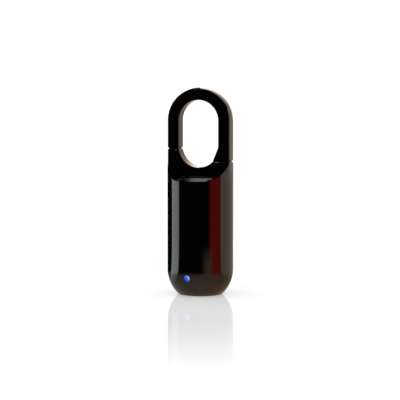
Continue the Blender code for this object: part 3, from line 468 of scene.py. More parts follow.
def add(tree, kind, settings=None, links=None, operation=None):
    """One node with its socket values, its input links and its operation."""
    made = tree.nodes.new(kind)
    if operation:
        made.operation = operation
    for name, value in (settings or {}).items():
        made.inputs[name].default_value = value
    for name, source in (links or {}).items():
        tree.links.new(source, made.inputs[name])
    return made


def surface(name, colour, metallic, roughness, **sockets):
    """A material with its shader's constant sockets set."""
    made = bpy.data.materials.new(name)
    made.use_nodes = True
    shader = made.node_tree.nodes["Principled BSDF"]
    shader.inputs["Base Color"].default_value = linear(colour)
    shader.inputs["Metallic"].default_value = metallic
    shader.inputs["Roughness"].default_value = roughness
    for socket, value in sockets.items():
        shader.inputs[socket.replace("_", " ")].default_value = value
    return made


def feed(material, socket, output):
    """Link a node's output to a socket of the material's shader."""
    tree = material.node_tree
    tree.links.new(output, tree.nodes["Principled BSDF"].inputs[socket])


def gloss_black():
    """Baked high-gloss black lacquer over cast metal.

    Sprayed and baked: a near-black dielectric, mirror-like, with a faint orange peel of
    about 1.5 mm waves, and a breath of uneven sheen from handling in patches of 11 mm.
    """
    peel_wave = 1.54 * mm
    peel_height = 0.01 * mm
    sheen_patch = 11.1 * mm
    made = surface("baked_gloss_black_lacquer", "#040404", 0.0, 0.05, IOR=1.5)
    tree = made.node_tree
    place = add(tree, "ShaderNodeTexCoord")
    peel = add(tree, "ShaderNodeTexNoise", {"Scale": 1 / peel_wave, "Detail": 1.5, "Roughness": 0.4},
               {"Vector": place.outputs["Object"]})
    bump = add(tree, "ShaderNodeBump", {"Strength": 0.05, "Distance": peel_height},
               {"Height": peel.outputs["Fac"]})
    feed(made, "Normal", bump.outputs["Normal"])
    sheen = add(tree, "ShaderNodeTexNoise", {"Scale": 1 / sheen_patch, "Detail": 3.0},
                {"Vector": place.outputs["Object"]})
    band = add(tree, "ShaderNodeMapRange",
               {"From Min": 0.35, "From Max": 0.75, "To Min": 0.042, "To Max": 0.075},
               {"Value": sheen.outputs["Fac"]})
    feed(made, "Roughness", band.outputs["Result"])
    return made


lacquer = gloss_black()


def lacquered(piece, body, node, fold):
    """Give a piece the lacquer and its body, and hide the CAD node that it stands for.

    Edges that fold by more than fold degrees stay sharp.  Elsewhere the large faces rule
    the shading, so that a fine broken edge doesn't tint the flat beside it.
    """
    piece.data.set_sharp_from_angle(angle=math.radians(fold))
    piece.data.materials.clear()
    piece.data.materials.append(lacquer)
    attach(piece, body)
    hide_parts(node)
    step = piece.modifiers.new("even_normals", "WEIGHTED_NORMAL")
    step.keep_sharp = True
    step.weight = 100


lacquered(casing, "body", "casing", fold=38)

# Light pipe: a short rod of clear blue polycarbonate pressed into the foot.  Its outer
# end follows the lacquered surface and glows from the light behind it.
light_inner = 6.34 * mm
light_proud = 0.03 * mm
light_fold = math.radians(50)
light_pipe = light_rod("light_pipe_lens", light_radius, light_proud, light_inner)
light_pipe.data.set_sharp_from_angle(angle=light_fold)


def lit_blue():
    """Clear blue polycarbonate, moulded and lit from behind.

    The lamp sits behind its upper right, so the face runs from deep blue at the lower
    left to pale cyan at the upper right; the polished skin adds a faint reflection.
    """
    made = surface("lit_clear_blue_polycarbonate", "#05103A", 0.0, 0.12, IOR=1.58, Emission_Strength=0.92)
    tree = made.node_tree
    place = add(tree, "ShaderNodeTexCoord")
    lamp_side = Vector((0.78, 0, 0.62))
    middle = lamp_side.x * light_along.x * body_radius + lamp_side.z * light_height
    along = add(tree, "ShaderNodeVectorMath", {1: lamp_side}, {0: place.outputs["Object"]}, "DOT_PRODUCT")
    across = add(tree, "ShaderNodeMapRange",
                 {"From Min": middle - light_radius, "From Max": middle + light_radius},
                 {"Value": along.outputs["Value"]})
    ramp = add(tree, "ShaderNodeValToRGB", None, {"Fac": across.outputs["Result"]})
    ramp.color_ramp.elements[0].color = linear("#04091E")
    ramp.color_ramp.elements[1].color = linear("#96D0F8")
    for position, colour in ((0.1, "#081F70"), (0.22, "#0A38C8"), (0.4, "#0C4ADC"), (0.62, "#2C74E6"),
                             (0.8, "#6CB0F2")):
        ramp.color_ramp.elements.new(position).color = linear(colour)
    feed(made, "Emission Color", ramp.outputs["Color"])
    return made


light_pipe.data.materials.append(lit_blue())
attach(light_pipe, "body")
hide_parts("light_pipe")

# Shackle: the upper part of the loop, cast and lacquered like the body.  It turns on a
# pin in the left post and closes on the right stub, with a broken edge at each seam.
left_underside = left_seam_height + seam_gap / 2
right_underside = right_seam_height + seam_gap / 2
pin_grip = 2.93 * mm
pin_seat_radius = 1.33 * mm
sleeve_reach = 3.3 * mm
sleeve_seat_radius = 1.58 * mm
seat_facets = 40
inner_columns = 7
front_columns = 7
left_leg_rows = 12
arch_rows = 97
right_leg_rows = 10
right_foot_rows = 20
right_leg_bow = 0.1
right_leg_beyond = 0.1 * mm


def section_loop(inner, inner_break=seam_chamfer):
    """One closed section of the loop, its inset end outline and the end's broken edge.

    Inner face, rounded edge, front, upright corner, round outer face, and the same back,
    as (distance from the middle, depth).  The inset is the outline of the flat end face;
    the broken edge is deep at the notched sides and fine along the front.
    """
    flat = np.linspace(1, -1, inner_columns)[1:-1] * (plate_half - edge_round)
    turn = np.linspace(math.pi, 1.5 * math.pi, inner_columns)
    round_r = inner + edge_round + edge_round * np.cos(turn)
    round_y = -(plate_half - edge_round) + edge_round * np.sin(turn)
    front_r = np.linspace(inner + edge_round, panel_edge, front_columns)[1:-1]
    half_r = np.concatenate((round_r, front_r, corner_x))
    half_y = np.concatenate((round_y, np.full(len(front_r), -plate_half), corner_y))
    face = inner + inner_break
    front_break = seam_chamfer + (seam_front - seam_chamfer) * seam_calm(front_r, face)
    half_break = np.concatenate((np.full(len(round_r), inner_break), front_break,
                                 np.full(len(corner_x), seam_chamfer)))
    end_r = np.concatenate((np.full(len(round_r), face), np.clip(front_r, face, panel_edge),
                            np.full(len(corner_x), panel_edge)))
    end_y = -(plate_half - half_break)
    side_break = np.full(len(side_x) - 2, seam_chamfer)
    loop_r = np.concatenate((np.full(len(flat), inner), half_r, side_x[1:-1], half_r[::-1]))
    loop_y = np.concatenate((flat, half_y, side_y[1:-1], -half_y[::-1]))
    goal_r = np.concatenate((np.full(len(flat), face), end_r, side_x[1:-1] - seam_notch, end_r[::-1]))
    goal_y = np.concatenate((np.clip(flat, side_y[0], -side_y[0]), end_y, side_y[1:-1], -end_y[::-1]))
    breaks = np.concatenate((np.full(len(flat), inner_break), half_break, side_break, half_break[::-1]))
    return loop_r, loop_y, goal_r, goal_y, breaks


def right_inner(height):
    """Inner face of the right leg: a straight run to the seam, bowed a little outwards.

    It stands at right_leg_bow of the way from that line to the low half circle.
    """
    drop = max(loop_low_centre - height, 0)
    end = loop_low_centre - right_underside + right_leg_beyond
    circle = math.sqrt(loop_half ** 2 - drop ** 2)
    line = loop_half + (math.sqrt(loop_half ** 2 - end ** 2) - loop_half) * drop / end
    return line + (circle - line) * right_leg_bow


def shackle_grid():
    """Sections carried up the left leg, round the arch and down the right leg."""
    inward, across = edge_blend(seam_roundness)
    rows = []

    def leg(side, inner, height):
        r, y = section_loop(inner)[:2]
        rows.append(np.stack((side * r, y, np.full_like(r, height)), -1))

    def leg_end(side, inner, underside, steps, inner_break):
        r, y, goal_r, goal_y, breaks = section_loop(inner, inner_break)
        for i in steps:
            rows.append(np.stack((side * (r + (goal_r - r) * across[i]), y + (goal_y - y) * across[i],
                                  underside + breaks * (1 - inward[i])), -1))

    leg_end(-1, loop_half, left_underside, range(edge_rows, -1, -1), seam_chamfer)
    for height in np.linspace(left_underside + seam_chamfer, arch_centre, left_leg_rows)[:-1]:
        leg(-1, loop_half, height)
    r, y = section_loop(loop_half)[:2]
    for angle in np.linspace(math.pi, 0, arch_rows):
        rows.append(np.stack((r * math.cos(angle), y, arch_centre + r * math.sin(angle)), -1))
    right_end = right_underside + seam_chamfer
    for height in np.linspace(arch_centre, loop_low_centre, right_leg_rows)[1:]:
        leg(1, loop_half, height)
    for height in np.linspace(loop_low_centre, right_end, right_foot_rows)[1:]:
        leg(1, right_inner(height), height)
    leg_end(1, right_inner(right_end), right_underside, range(edge_rows + 1), stub_break)
    return np.array(rows)


sections = shackle_grid()
shackle = build("lacquered_shackle", [(sections, True)], [sections[0], sections[-1]])
carve(shackle, stepped("pin_seat", left_underside + pin_grip, [
    (pin_seat_radius, left_underside - cut_beyond)], seat_facets, pivot_centre))
carve(shackle, stepped("sleeve_seat", right_underside + sleeve_reach, [
    (sleeve_seat_radius, right_underside - cut_beyond)], seat_facets, bolt_centre))
lacquered(shackle, "shackle_body", "shackle", fold=38)

# Base cap: the lowest slice of the foot, turned from the same metal and lacquered.  It
# is held by two lugs and is opened with a coin in the slot underneath.
cap_seam = 2.6 * mm
cap_seam_break = 0.03 * mm
cap_edge_round = 0.3 * mm
cap_curve_low = 0.8 * cap_edge_round
cap_curve_rows = 22
cap_face_ring = 4 * mm
cap_facets = 240
plug_radius = 8.7 * mm
plug_top = 5.2 * mm
plug_break = 0.1 * mm
cup_radius = 7.4 * mm
cup_floor = 3.5 * mm
seal_groove_radius = 7.95 * mm
seal_groove_low = 2.95 * mm
seal_groove_high = 3.9 * mm
coin_slot_length = 11 * mm
coin_slot_width = 1.7 * mm
coin_slot_depth = 1.1 * mm


def cap_profile():
    """Radius and height of the cap: plug, seal groove, foot slice, rounded foot edge.

    The slice follows the foot's arc, and the edge is a quadratic curve into the flat.
    """
    inside = [(0, cup_floor), (cup_radius, cup_floor), (cup_radius, plug_top),
              (plug_radius - plug_break, plug_top), (plug_radius, plug_top - plug_break),
              (plug_radius, seal_groove_high), (seal_groove_radius, seal_groove_high),
              (seal_groove_radius, seal_groove_low), (plug_radius, seal_groove_low),
              (plug_radius, cap_seam), (foot_radius(cap_seam) - cap_seam_break, cap_seam)]
    heights = np.linspace(cap_seam - cap_seam_break, cap_curve_low, cap_curve_rows)
    curve = np.stack((foot_radius(heights), heights), -1)
    corner = np.array([foot_face_radius, 0])
    edge = quadratic(curve[-1], corner, corner - np.array([cap_edge_round, 0]))[1:, 0]
    return np.concatenate((inside, curve, edge, [(cap_face_ring, 0), (0, 0)]))


def brick(name, low, high):
    """A plain cutting block between two corners."""
    x0, y0, z0 = low
    x1, y1, z1 = high
    ring = np.array([(x0, y0), (x1, y0), (x1, y1), (x0, y1)])
    rows = np.array([[(x, y, z) for x, y in ring] for z in (z0, z1)])
    return build(name, [(rows, True)], [rows[0], rows[1]])


base_cap = turned("lacquered_base_cap", cap_profile(), cap_facets)
carve(base_cap, brick("coin_slot", (-coin_slot_length / 2, -coin_slot_width / 2, -cut_beyond),
                      (coin_slot_length / 2, coin_slot_width / 2, coin_slot_depth)))

lug_root = 8.2 * mm
lug_radius = 9.45 * mm
lug_low = 4.35 * mm
lug_high = 5.0 * mm
lug_half_turn = 13
lug_columns = 14


def lug(middle):
    """A bayonet lug: a short ring sector that stands out of the plug."""
    angle = middle + np.radians(np.linspace(-lug_half_turn, lug_half_turn, lug_columns))
    corners = ((lug_root, lug_low), (lug_radius, lug_low), (lug_radius, lug_high), (lug_root, lug_high))
    rings = [np.stack((r * np.cos(angle), r * np.sin(angle), np.full_like(angle, z)), -1)
             for r, z in corners]
    grid = np.stack(rings, axis=1)
    return build("lug", [(grid, True)], [grid[0], grid[-1]])


for number in (0, 1):
    carve(base_cap, lug(math.pi * number), "UNION")
lacquered(base_cap, "cap_body", "base_cap", fold=35)


def dress(material, *names):
    """Put one finish into the material slots of these CAD nodes."""
    for name in names:
        for holder in nodes[name].material_slots:
            holder.material = material


def mottled(material, patch, low, high, stretch=(1, 1, 1)):
    """Roughness that wanders between low and high with noise whose patches are patch wide.

    A stretch below 1 draws the noise out along that axis, so that it makes lines.
    """
    tree = material.node_tree
    place = add(tree, "ShaderNodeTexCoord")
    shape = add(tree, "ShaderNodeMapping", {"Scale": stretch}, {"Vector": place.outputs["Object"]})
    noise = add(tree, "ShaderNodeTexNoise", {"Scale": 1 / patch, "Detail": 3.0},
                {"Vector": shape.outputs["Vector"]})
    band = add(tree, "ShaderNodeMapRange",
               {"From Min": 0.3, "From Max": 0.7, "To Min": low, "To Max": high},
               {"Value": noise.outputs["Fac"]})
    feed(material, "Roughness", band.outputs["Result"])
    return noise


def relief(material, height, depth):
    """A bump from a height socket, at most depth high."""
    bump = add(material.node_tree, "ShaderNodeBump", {"Strength": 1.0, "Distance": depth}, {"Height": height})
    feed(material, "Normal", bump.outputs["Normal"])


def tinted(material, noise, dark, light):
    """Base colour that follows a noise between two hex colours."""
    tones = add(material.node_tree, "ShaderNodeValToRGB", None, {"Fac": noise.outputs["Fac"]})
    tones.color_ramp.elements[0].position = 0.35
    tones.color_ramp.elements[1].position = 0.65
    tones.color_ramp.elements[0].color = linear(dark)
    tones.color_ramp.elements[1].color = linear(light)
    feed(material, "Base Color", tones.outputs["Color"])


def grey_nylon():
    """Moulded grey nylon with glass fibre: a dull skin with faint paler flow marks.

    The marks are 1.4 mm apart, and their relief stands for the finer fibres under the skin.
    """
    made = surface("moulded_grey_glass_filled_nylon", "#54575B", 0.0, 0.5)
    noise = mottled(made, 1.43 * mm, 0.42, 0.58)
    tinted(made, noise, "#4E5155", "#5C5F64")
    relief(made, noise.outputs["Fac"], 0.01 * mm)
    return made


def nickel_plate():
    """Nickel plate on deep-drawn steel: bright, a little yellow, with 4 mm smudges."""
    made = surface("nickel_plated_drawn_steel", "#CFC8BA", 1.0, 0.25)
    noise = mottled(made, 3.85 * mm, 0.18, 0.34)
    tinted(made, noise, "#C6BFB0", "#D6D0C4")
    return made


def stamped_steel():
    """Stamped stainless sheet: upright rolling lines that stretch the reflections.

    Real ones are finer than 0.1 mm; they are drawn 1.1 mm wide, so that they show.
    """
    made = surface("stamped_stainless_sheet", "#C3C5C7", 1.0, 0.32)
    noise = mottled(made, 1.11 * mm, 0.24, 0.4, (1, 1, 0.06))
    relief(made, noise.outputs["Fac"], 0.004 * mm)
    return made


dress(grey_nylon(), "battery_carrier", "gearbox_frame")
dress(nickel_plate(), "battery_cell_lower", "battery_cell_upper", "battery_top_contact")
dress(stamped_steel(), "battery_spring", "radio_module", "bearing_plate", "gearbox_screw_1",
      "gearbox_screw_2", "motor_can", "retaining_fork")

# Electronics: a green glass-fibre board with a black chip, a shielded radio and the lamp
# behind the light pipe.  The rails of the battery carrier hold the board.


def solder_mask():
    """Green solder mask over woven glass: glossy, with the cloth's 0.6 mm weave showing."""
    weave_pitch = 0.6 * mm
    made = surface("green_solder_mask_on_glass_cloth", "#14603A", 0.0, 0.25, IOR=1.5)
    tree = made.node_tree
    noise = mottled(made, 2.5 * mm, 0.2, 0.32)
    tinted(made, noise, "#10542F", "#1A6B42")
    place = add(tree, "ShaderNodeTexCoord")
    weave = add(tree, "ShaderNodeTexChecker", {"Scale": 1 / weave_pitch}, {"Vector": place.outputs["Object"]})
    relief(made, weave.outputs["Fac"], 0.006 * mm)
    return made


def moulded_epoxy():
    """Black moulding compound: matt, with the grain of its silica filler.

    The real grain is finer than 0.1 mm; it is drawn at 0.4 mm, so that it shows.
    """
    made = surface("moulded_black_epoxy", "#19191B", 0.0, 0.55)
    noise = mottled(made, 0.4 * mm, 0.48, 0.64)
    relief(made, noise.outputs["Fac"], 0.008 * mm)
    return made


def white_acetal():
    """White acetal, moulded: a waxy half gloss that lets a little light in."""
    made = surface("moulded_white_acetal", "#E7E6E0", 0.0, 0.38,
                   Subsurface_Weight=0.15, Subsurface_Scale=0.3 * mm)
    mottled(made, 2 * mm, 0.32, 0.46)
    return made


dress(solder_mask(), "circuit_board")
dress(moulded_epoxy(), "control_chip", "motor_end_cap")
dress(white_acetal(), "status_led", "screw_gear")

# Lock gear: a motor turns a steel lead screw through a brass pinion and an acetal gear,
# and the screw drives the brass carriage with the hardened bolt in its bronze bush.


def ground_steel():
    """Hardened steel, ground round: bright, with fine level rings round the axis.

    The grinder's rings are finer than 0.1 mm; they are drawn at 0.7 mm, so that they show.
    """
    made = surface("ground_hardened_steel", "#B5B7BB", 1.0, 0.22)
    noise = mottled(made, 0.714 * mm, 0.15, 0.3, (0.05, 0.05, 1))
    relief(made, noise.outputs["Fac"], 0.003 * mm)
    return made


def cut_brass():
    """Turned and hobbed brass: warm, with soft tool marks and slightly darker patches.

    The marks are drawn 1.4 mm high, coarser than a tool's real feed, so that they show.
    """
    made = surface("cut_free_machining_brass", "#D6B36A", 1.0, 0.3)
    noise = mottled(made, 1.43 * mm, 0.22, 0.38, (0.3, 0.3, 1))
    tinted(made, noise, "#CBA65C", "#DFBE78")
    return made


def sintered_bronze():
    """Oil-soaked sintered bronze: brown and half matt, pitted by pores.

    Real pores are 0.1 mm apart at the most; they are drawn at 0.25 mm, so that they show.
    """
    pore_pitch = 0.25 * mm
    made = surface("sintered_bronze", "#A87844", 1.0, 0.45)
    tree = made.node_tree
    noise = mottled(made, 1.11 * mm, 0.38, 0.55)
    tinted(made, noise, "#97693A", "#B5854F")
    place = add(tree, "ShaderNodeTexCoord")
    pores = add(tree, "ShaderNodeTexVoronoi", {"Scale": 1 / pore_pitch}, {"Vector": place.outputs["Object"]})
    relief(made, pores.outputs["Distance"], 0.015 * mm)
    return made


def nitrile_rubber():
    """Moulded black nitrile rubber: matt, with a faint bloom in patches of 1.7 mm."""
    made = surface("moulded_nitrile_rubber", "#161616", 0.0, 0.62)
    noise = mottled(made, 1.67 * mm, 0.52, 0.72)
    tinted(made, noise, "#121212", "#1E1E1E")
    relief(made, noise.outputs["Fac"], 0.01 * mm)
    return made


dress(ground_steel(), "motor_shaft", "lead_screw", "locking_bolt", "pivot_pin", "lock_socket_sleeve")
dress(cut_brass(), "motor_pinion", "bolt_carriage")
dress(sintered_bronze(), "bolt_bush", "wear_washer", "pivot_bush")
dress(nitrile_rubber(), "base_cap_seal", "bolt_seal")

# Floor: a sheet of glossy white acrylic.  It shows a faint mirror image of the padlock
# that fades away from it, and keeps the soft shadow at its foot.  The camera sees it
# lifted to white.
floor_reach = 6000 * mm
floor_height = -0.01 * mm
mirror_share = 0.3
mirror_fade_start = 60 * mm
mirror_fade_end = 225 * mm
camera_lift = 0.47
floor_x, floor_y = np.meshgrid([-floor_reach, floor_reach], [-floor_reach, floor_reach])
floor_grid = np.stack((floor_x, floor_y, np.full_like(floor_x, floor_height)), -1)
floor = build("white_acrylic_floor", [(floor_grid, False)])
if floor.data.polygons[0].normal.z < 0:
    floor.data.flip_normals()
floor_paint = surface("white_acrylic", "#F4F4F4", 0.0, 0.6, Specular_IOR_Level=0.0)
tree = floor_paint.node_tree
shader = tree.nodes["Principled BSDF"]
place = add(tree, "ShaderNodeTexCoord")
away = add(tree, "ShaderNodeVectorMath", None, {0: place.outputs["Object"]}, "LENGTH")
fade = add(tree, "ShaderNodeMapRange",
           {"From Min": mirror_fade_start, "From Max": mirror_fade_end,
            "To Min": mirror_share, "To Max": 0.0},
           {"Value": away.outputs["Value"]})
fade.interpolation_type = "SMOOTHSTEP"
mirror = add(tree, "ShaderNodeBsdfGlossy", {"Roughness": 0.0, "Color": (1, 1, 1, 1)})
path = add(tree, "ShaderNodeLightPath")
lift = add(tree, "ShaderNodeEmission", {"Color": (1, 1, 1, 1)})
amount = add(tree, "ShaderNodeMath", {1: camera_lift}, {0: path.outputs["Is Camera Ray"]}, "MULTIPLY")
tree.links.new(amount.outputs["Value"], lift.inputs["Strength"])
white = add(tree, "ShaderNodeAddShader", None, {0: shader.outputs["BSDF"], 1: lift.outputs["Emission"]})
blend = add(tree, "ShaderNodeMixShader", None,
            {0: fade.outputs["Result"], 1: white.outputs["Shader"], 2: mirror.outputs["BSDF"]})
tree.links.new(blend.outputs["Shader"], tree.nodes["Material Output"].inputs["Surface"])
floor.data.materials.append(floor_paint)

# Studio: a white world and a soft lamp overhead.  A bowl of black flags and coloured cards
# stands round the padlock, lies on the floor and is roofed, with a warm card behind it and a
# small softbox in front.  Only glossy rays see them: they are what the lacquer mirrors.
bowl_radius = 200 * mm
bowl_height = 130 * mm
bowl_back_drop = 74 * mm
bowl_back_run = 9
roof_left = -161
roof_right = 149
mat_inner = 7 * mm
mat_middle = 105 * mm
mat_height = 0.05 * mm
card_rows = 5


def card(name, radius, azimuths, height, paint):
    """A card at (radius, azimuth, height), which broadcast to a grid; it shows in gloss alone.

    Azimuths are degrees from the front, towards +x.
    """
    turn = np.radians(azimuths)
    places = np.broadcast_arrays(radius * np.sin(turn), -radius * np.cos(turn), height)
    made = build(name, [(np.stack(places, -1), False)])
    made.data.materials.append(paint)
    for ray in ("camera", "diffuse", "shadow", "transmission", "volume_scatter"):
        setattr(made, "visible_" + ray, False)


def upright_card(name, radius, azimuths, low, high, paint):
    """A piece of an upright cylinder, from low up to high, which may differ by azimuth."""
    rise = np.linspace(0, 1, card_rows)[:, None]
    card(name, radius, azimuths, low + (high - low) * rise, paint)


def level_card(name, inner, outer, rings, azimuths, height, paint):
    """A level piece of a disc between two radii."""
    card(name, np.linspace(inner, outer, rings)[:, None], azimuths, height, paint)


def azimuth_share(tree, place):
    """Azimuth from the front, towards +x, as a share of a turn from -180 degrees."""
    part = add(tree, "ShaderNodeSeparateXYZ", None, {"Vector": place.outputs["Object"]})
    front = add(tree, "ShaderNodeMath", {1: -1.0}, {0: part.outputs["Y"]}, "MULTIPLY")
    turn = add(tree, "ShaderNodeMath", None, {0: part.outputs["X"], 1: front.outputs["Value"]}, "ARCTAN2")
    return add(tree, "ShaderNodeMapRange", {"From Min": -math.pi, "From Max": math.pi},
               {"Value": turn.outputs["Value"]})


card_strength = 3.0


def ramp_of(tree, share, stops):
    """Light over the azimuth, from stops of (degrees, (red, green, blue)), where 1 is white.

    The ramp holds the colours divided by the strength of the emission.
    """
    ramp = add(tree, "ShaderNodeValToRGB", None, {"Fac": share.outputs["Result"]})
    bands = ramp.color_ramp.elements
    while len(bands) < len(stops):
        bands.new(1.0)
    for band, (azimuth, colour) in zip(bands, stops):
        band.position = (azimuth + 180) / 360
        band.color = (*[part / card_strength for part in colour], 1)
    return add(tree, "ShaderNodeEmission", {"Strength": card_strength}, {"Color": ramp.outputs["Color"]})


def card_paint(name, stops, other_stops=None, measured=None, start=0.0, end=1.0):
    """Light given off by a card by its azimuth, passing to other_stops over a distance.

    The distance is the height or the radius, whichever is measured, from start to end.
    The floor's own sharp mirror looks through the card, which only the lacquer sees.
    """
    made = bpy.data.materials.new(name)
    made.use_nodes = True
    tree = made.node_tree
    tree.nodes.clear()
    place = add(tree, "ShaderNodeTexCoord")
    share = azimuth_share(tree, place)
    shown = ramp_of(tree, share, stops).outputs["Emission"]
    if other_stops:
        part = add(tree, "ShaderNodeSeparateXYZ", None, {"Vector": place.outputs["Object"]})
        away = add(tree, "ShaderNodeVectorMath", None, {0: place.outputs["Object"]}, "LENGTH")
        distance = part.outputs["Z"] if measured == "height" else away.outputs["Value"]
        passed = add(tree, "ShaderNodeMapRange", {"From Min": start, "From Max": end}, {"Value": distance})
        passed.interpolation_type = "SMOOTHSTEP"
        other = ramp_of(tree, share, other_stops)
        both = add(tree, "ShaderNodeMixShader", None,
                   {0: passed.outputs["Result"], 1: shown, 2: other.outputs["Emission"]})
        shown = both.outputs["Shader"]
    clear = add(tree, "ShaderNodeBsdfTransparent")
    ray = add(tree, "ShaderNodeLightPath")
    mix = add(tree, "ShaderNodeMixShader", None,
              {0: ray.outputs["Is Singular Ray"], 1: shown, 2: clear.outputs["BSDF"]})
    add(tree, "ShaderNodeOutputMaterial", None, {"Surface": mix.outputs["Shader"]})
    return made


# each list is light by azimuth: a cool card on the left, black in front, a red card on the
# right and warm ones behind, which differ between the bowl's foot, its rim and the floor
black = (0, 0, 0)
left_stops = [
    (-180, (0.46, 0.35, 0.28)), (-170, (0.6, 0.47, 0.38)), (-162, (0.85, 0.68, 0.54)), (-160, black),
    (-99, black), (-95, (1.95, 2.0, 2.08)), (-79, (2.05, 2.35, 2.35)), (-61.5, (2.25, 2.6, 2.52)),
    (-59, black)]
red_start = [(45, black), (49.5, (0.2, 0.02, 0.02)), (54, (1.25, 0.04, 0.05)), (59, (1.45, 0.05, 0.04))]
brown_start = [(14, black), (24, (0.05, 0.04, 0.03)), (34, (0.35, 0.25, 0.18)), (44, (0.6, 0.42, 0.3)),
               (54, (0.6, 0.38, 0.27)), (60, (1.4, 0.08, 0.06))]
red_end = [(89, (1.06, 0.06, 0.04)), (91.5, (1.1, 0.34, 0.22))]
low_warm = [
    (97, (1.15, 0.87, 0.64)), (104, (0.98, 0.74, 0.58)), (117, (0.87, 0.66, 0.51)), (131, (0.81, 0.62, 0.46)),
    (149, (0.66, 0.5, 0.43)), (161, (0.56, 0.44, 0.37)), (172, (0.56, 0.45, 0.37)), (180, (0.46, 0.35, 0.28))]
high_warm = [
    (97, (1.15, 0.9, 0.7)), (135, (0.86, 0.76, 0.64)), (151, (0.95, 0.86, 0.75)), (159, (0.78, 0.69, 0.6)),
    (162, (0.6, 0.52, 0.45)), (177, (0.42, 0.35, 0.29)), (180, (0.4, 0.32, 0.27))]
low_stops = left_stops + red_start + red_end + low_warm
high_stops = left_stops + red_start + red_end + high_warm
middle_stops = left_stops + brown_start + red_end + low_warm
near_stops = [
    (-180, (0.3, 0.22, 0.16)), (-130, (0.33, 0.31, 0.29)), (-90, (0.42, 0.4, 0.38)), (-30, (0.58, 0.48, 0.4)),
    (20, (0.72, 0.6, 0.42)), (56, (0.78, 0.47, 0.28)), (101, (0.52, 0.37, 0.24)), (153, (0.24, 0.17, 0.12)),
    (180, (0.3, 0.22, 0.16))]
floor_card_stops = [
    (-180, (0.62, 0.49, 0.4)), (-170, (0.9, 0.66, 0.5)), (-160, (1.2, 0.85, 0.62)), (160, (0.42, 0.36, 0.31)),
    (170, (0.5, 0.42, 0.36)), (180, (0.62, 0.49, 0.4))]
back_low_stops = [
    (-180, (1.15, 0.82, 0.6)), (-173.5, (1.75, 1.2, 0.85)), (-167, (2.3, 1.9, 1.65)),
    (-163, (2.0, 1.85, 1.7)), (-158, (2.1, 2.0, 1.9)), (155, (0.9, 0.8, 0.7)), (161, (0.66, 0.6, 0.52)),
    (167, (0.79, 0.66, 0.58)), (180, (1.15, 0.82, 0.6))]
back_high_stops = [
    (-180, (2.3, 1.6, 1.15)), (-174, (2.3, 1.85, 1.55)), (-168, (2.8, 2.5, 2.3)), (155, (0.9, 0.8, 0.7)),
    (161, (1.03, 0.86, 0.7)), (165, (1.15, 0.91, 0.78)), (169, (1.5, 1.1, 0.82)), (175, (2.0, 1.37, 1.0)),
    (180, (2.3, 1.6, 1.15))]
softbox = (7.4, 7.4, 7.4)
bowl_azimuths = np.linspace(roof_left, roof_left + 360, 241)
back_share = np.clip((bowl_azimuths - roof_right) / bowl_back_run, 0, 1)
upright_card("studio_flags", bowl_radius, bowl_azimuths, 0, bowl_height - bowl_back_drop * back_share,
             card_paint("flags_and_cards", low_stops, high_stops, "height", 24 * mm, 33 * mm))
ring = np.linspace(0, 360, 181)
level_card("flags_on_the_floor", mat_inner, mat_middle, 12, ring, mat_height,
           card_paint("floor_cards", near_stops, middle_stops, "radius", 12 * mm, 70 * mm))
level_card("outer_flags_on_the_floor", mat_middle, bowl_radius, 12, ring, mat_height,
           card_paint("outer_floor_cards", middle_stops, low_stops, "radius", mat_middle, 195 * mm))
level_card("warm_floor_card", 125 * mm, bowl_radius - mm, 8, np.linspace(162, 198, 30), 2 * mat_height,
           card_paint("warm_floor_cloth", floor_card_stops))
level_card("roof_flag", 0, bowl_radius, 6, np.linspace(roof_left, roof_right, 156), bowl_height,
           card_paint("black_cloth", [(-180, black), (180, black)]))
upright_card("warm_back_card", 280 * mm, np.linspace(150, 205, 40), 45 * mm, 380 * mm,
             card_paint("warm_card", back_low_stops, back_high_stops, "height", 135 * mm, 175 * mm))
upright_card("ledge_softbox", bowl_radius - mm, np.linspace(-20.4, -16.4, 12), 86 * mm, 106 * mm,
             card_paint("softbox_cloth", [(-180, softbox), (180, softbox)]))

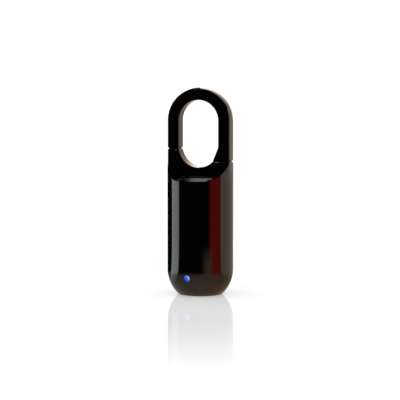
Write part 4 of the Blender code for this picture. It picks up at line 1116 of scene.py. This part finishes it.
# the world is white where it is seen or mirrored, and dimmer where it lights a surface
diffuse_level = 0.45
world = bpy.data.worlds.new("white_studio")
bpy.context.scene.world = world
world.use_nodes = True
tree = world.node_tree
tree.nodes.clear()
path = add(tree, "ShaderNodeLightPath")
seen = add(tree, "ShaderNodeMath", None,
           {0: path.outputs["Is Camera Ray"], 1: path.outputs["Is Glossy Ray"]}, "MAXIMUM")
seen = add(tree, "ShaderNodeMath", None,
           {0: seen.outputs["Value"], 1: path.outputs["Is Transmission Ray"]}, "MAXIMUM")
level = add(tree, "ShaderNodeMapRange", {"To Min": diffuse_level}, {"Value": seen.outputs["Value"]})
sky = add(tree, "ShaderNodeBackground", {"Color": (1, 1, 1, 1)}, {"Strength": level.outputs["Result"]})
add(tree, "ShaderNodeOutputWorld", None, {"Surface": sky.outputs["Background"]})

lamp_aim = Vector((0, 0, 30 * mm))
lamp = bpy.data.lights.new("soft_overhead", "SUN")
lamp.angle = math.radians(100)
lamp.energy = 0.75
overhead = bpy.data.objects.new("soft_overhead", lamp)
overhead.location = (-150 * mm, -250 * mm, 900 * mm)
overhead.rotation_euler = (lamp_aim - overhead.location).to_track_quat("-Z", "Y").to_euler()
overhead.visible_glossy = False
bpy.context.scene.collection.objects.link(overhead)

# Camera: a long lens a little above the padlock, 19 degrees round to the right of its front.
camera_turn = math.radians(19.0)
camera_rise = math.radians(5.05)
camera_away = 830 * mm
frame_width = 146.0 * mm
aim_height = 34.43 * mm
aim_left = 0.16 * mm
sensor_width = 36.0
aim = Vector((-aim_left * math.cos(camera_turn), -aim_left * math.sin(camera_turn), aim_height))
lens = bpy.data.cameras.new("product_camera")
lens.sensor_width = sensor_width
lens.lens = sensor_width * camera_away / frame_width
lens.clip_start = 10 * mm
lens.clip_end = 50000 * mm
camera = bpy.data.objects.new("product_camera", lens)
camera.location = aim + camera_away * Vector((
    math.sin(camera_turn) * math.cos(camera_rise), -math.cos(camera_turn) * math.cos(camera_rise),
    math.sin(camera_rise)))
camera.rotation_euler = (aim - camera.location).to_track_quat("-Z", "Y").to_euler()
bpy.context.scene.collection.objects.link(camera)
bpy.context.scene.camera = camera
bpy.context.scene.view_settings.view_transform = "Standard"
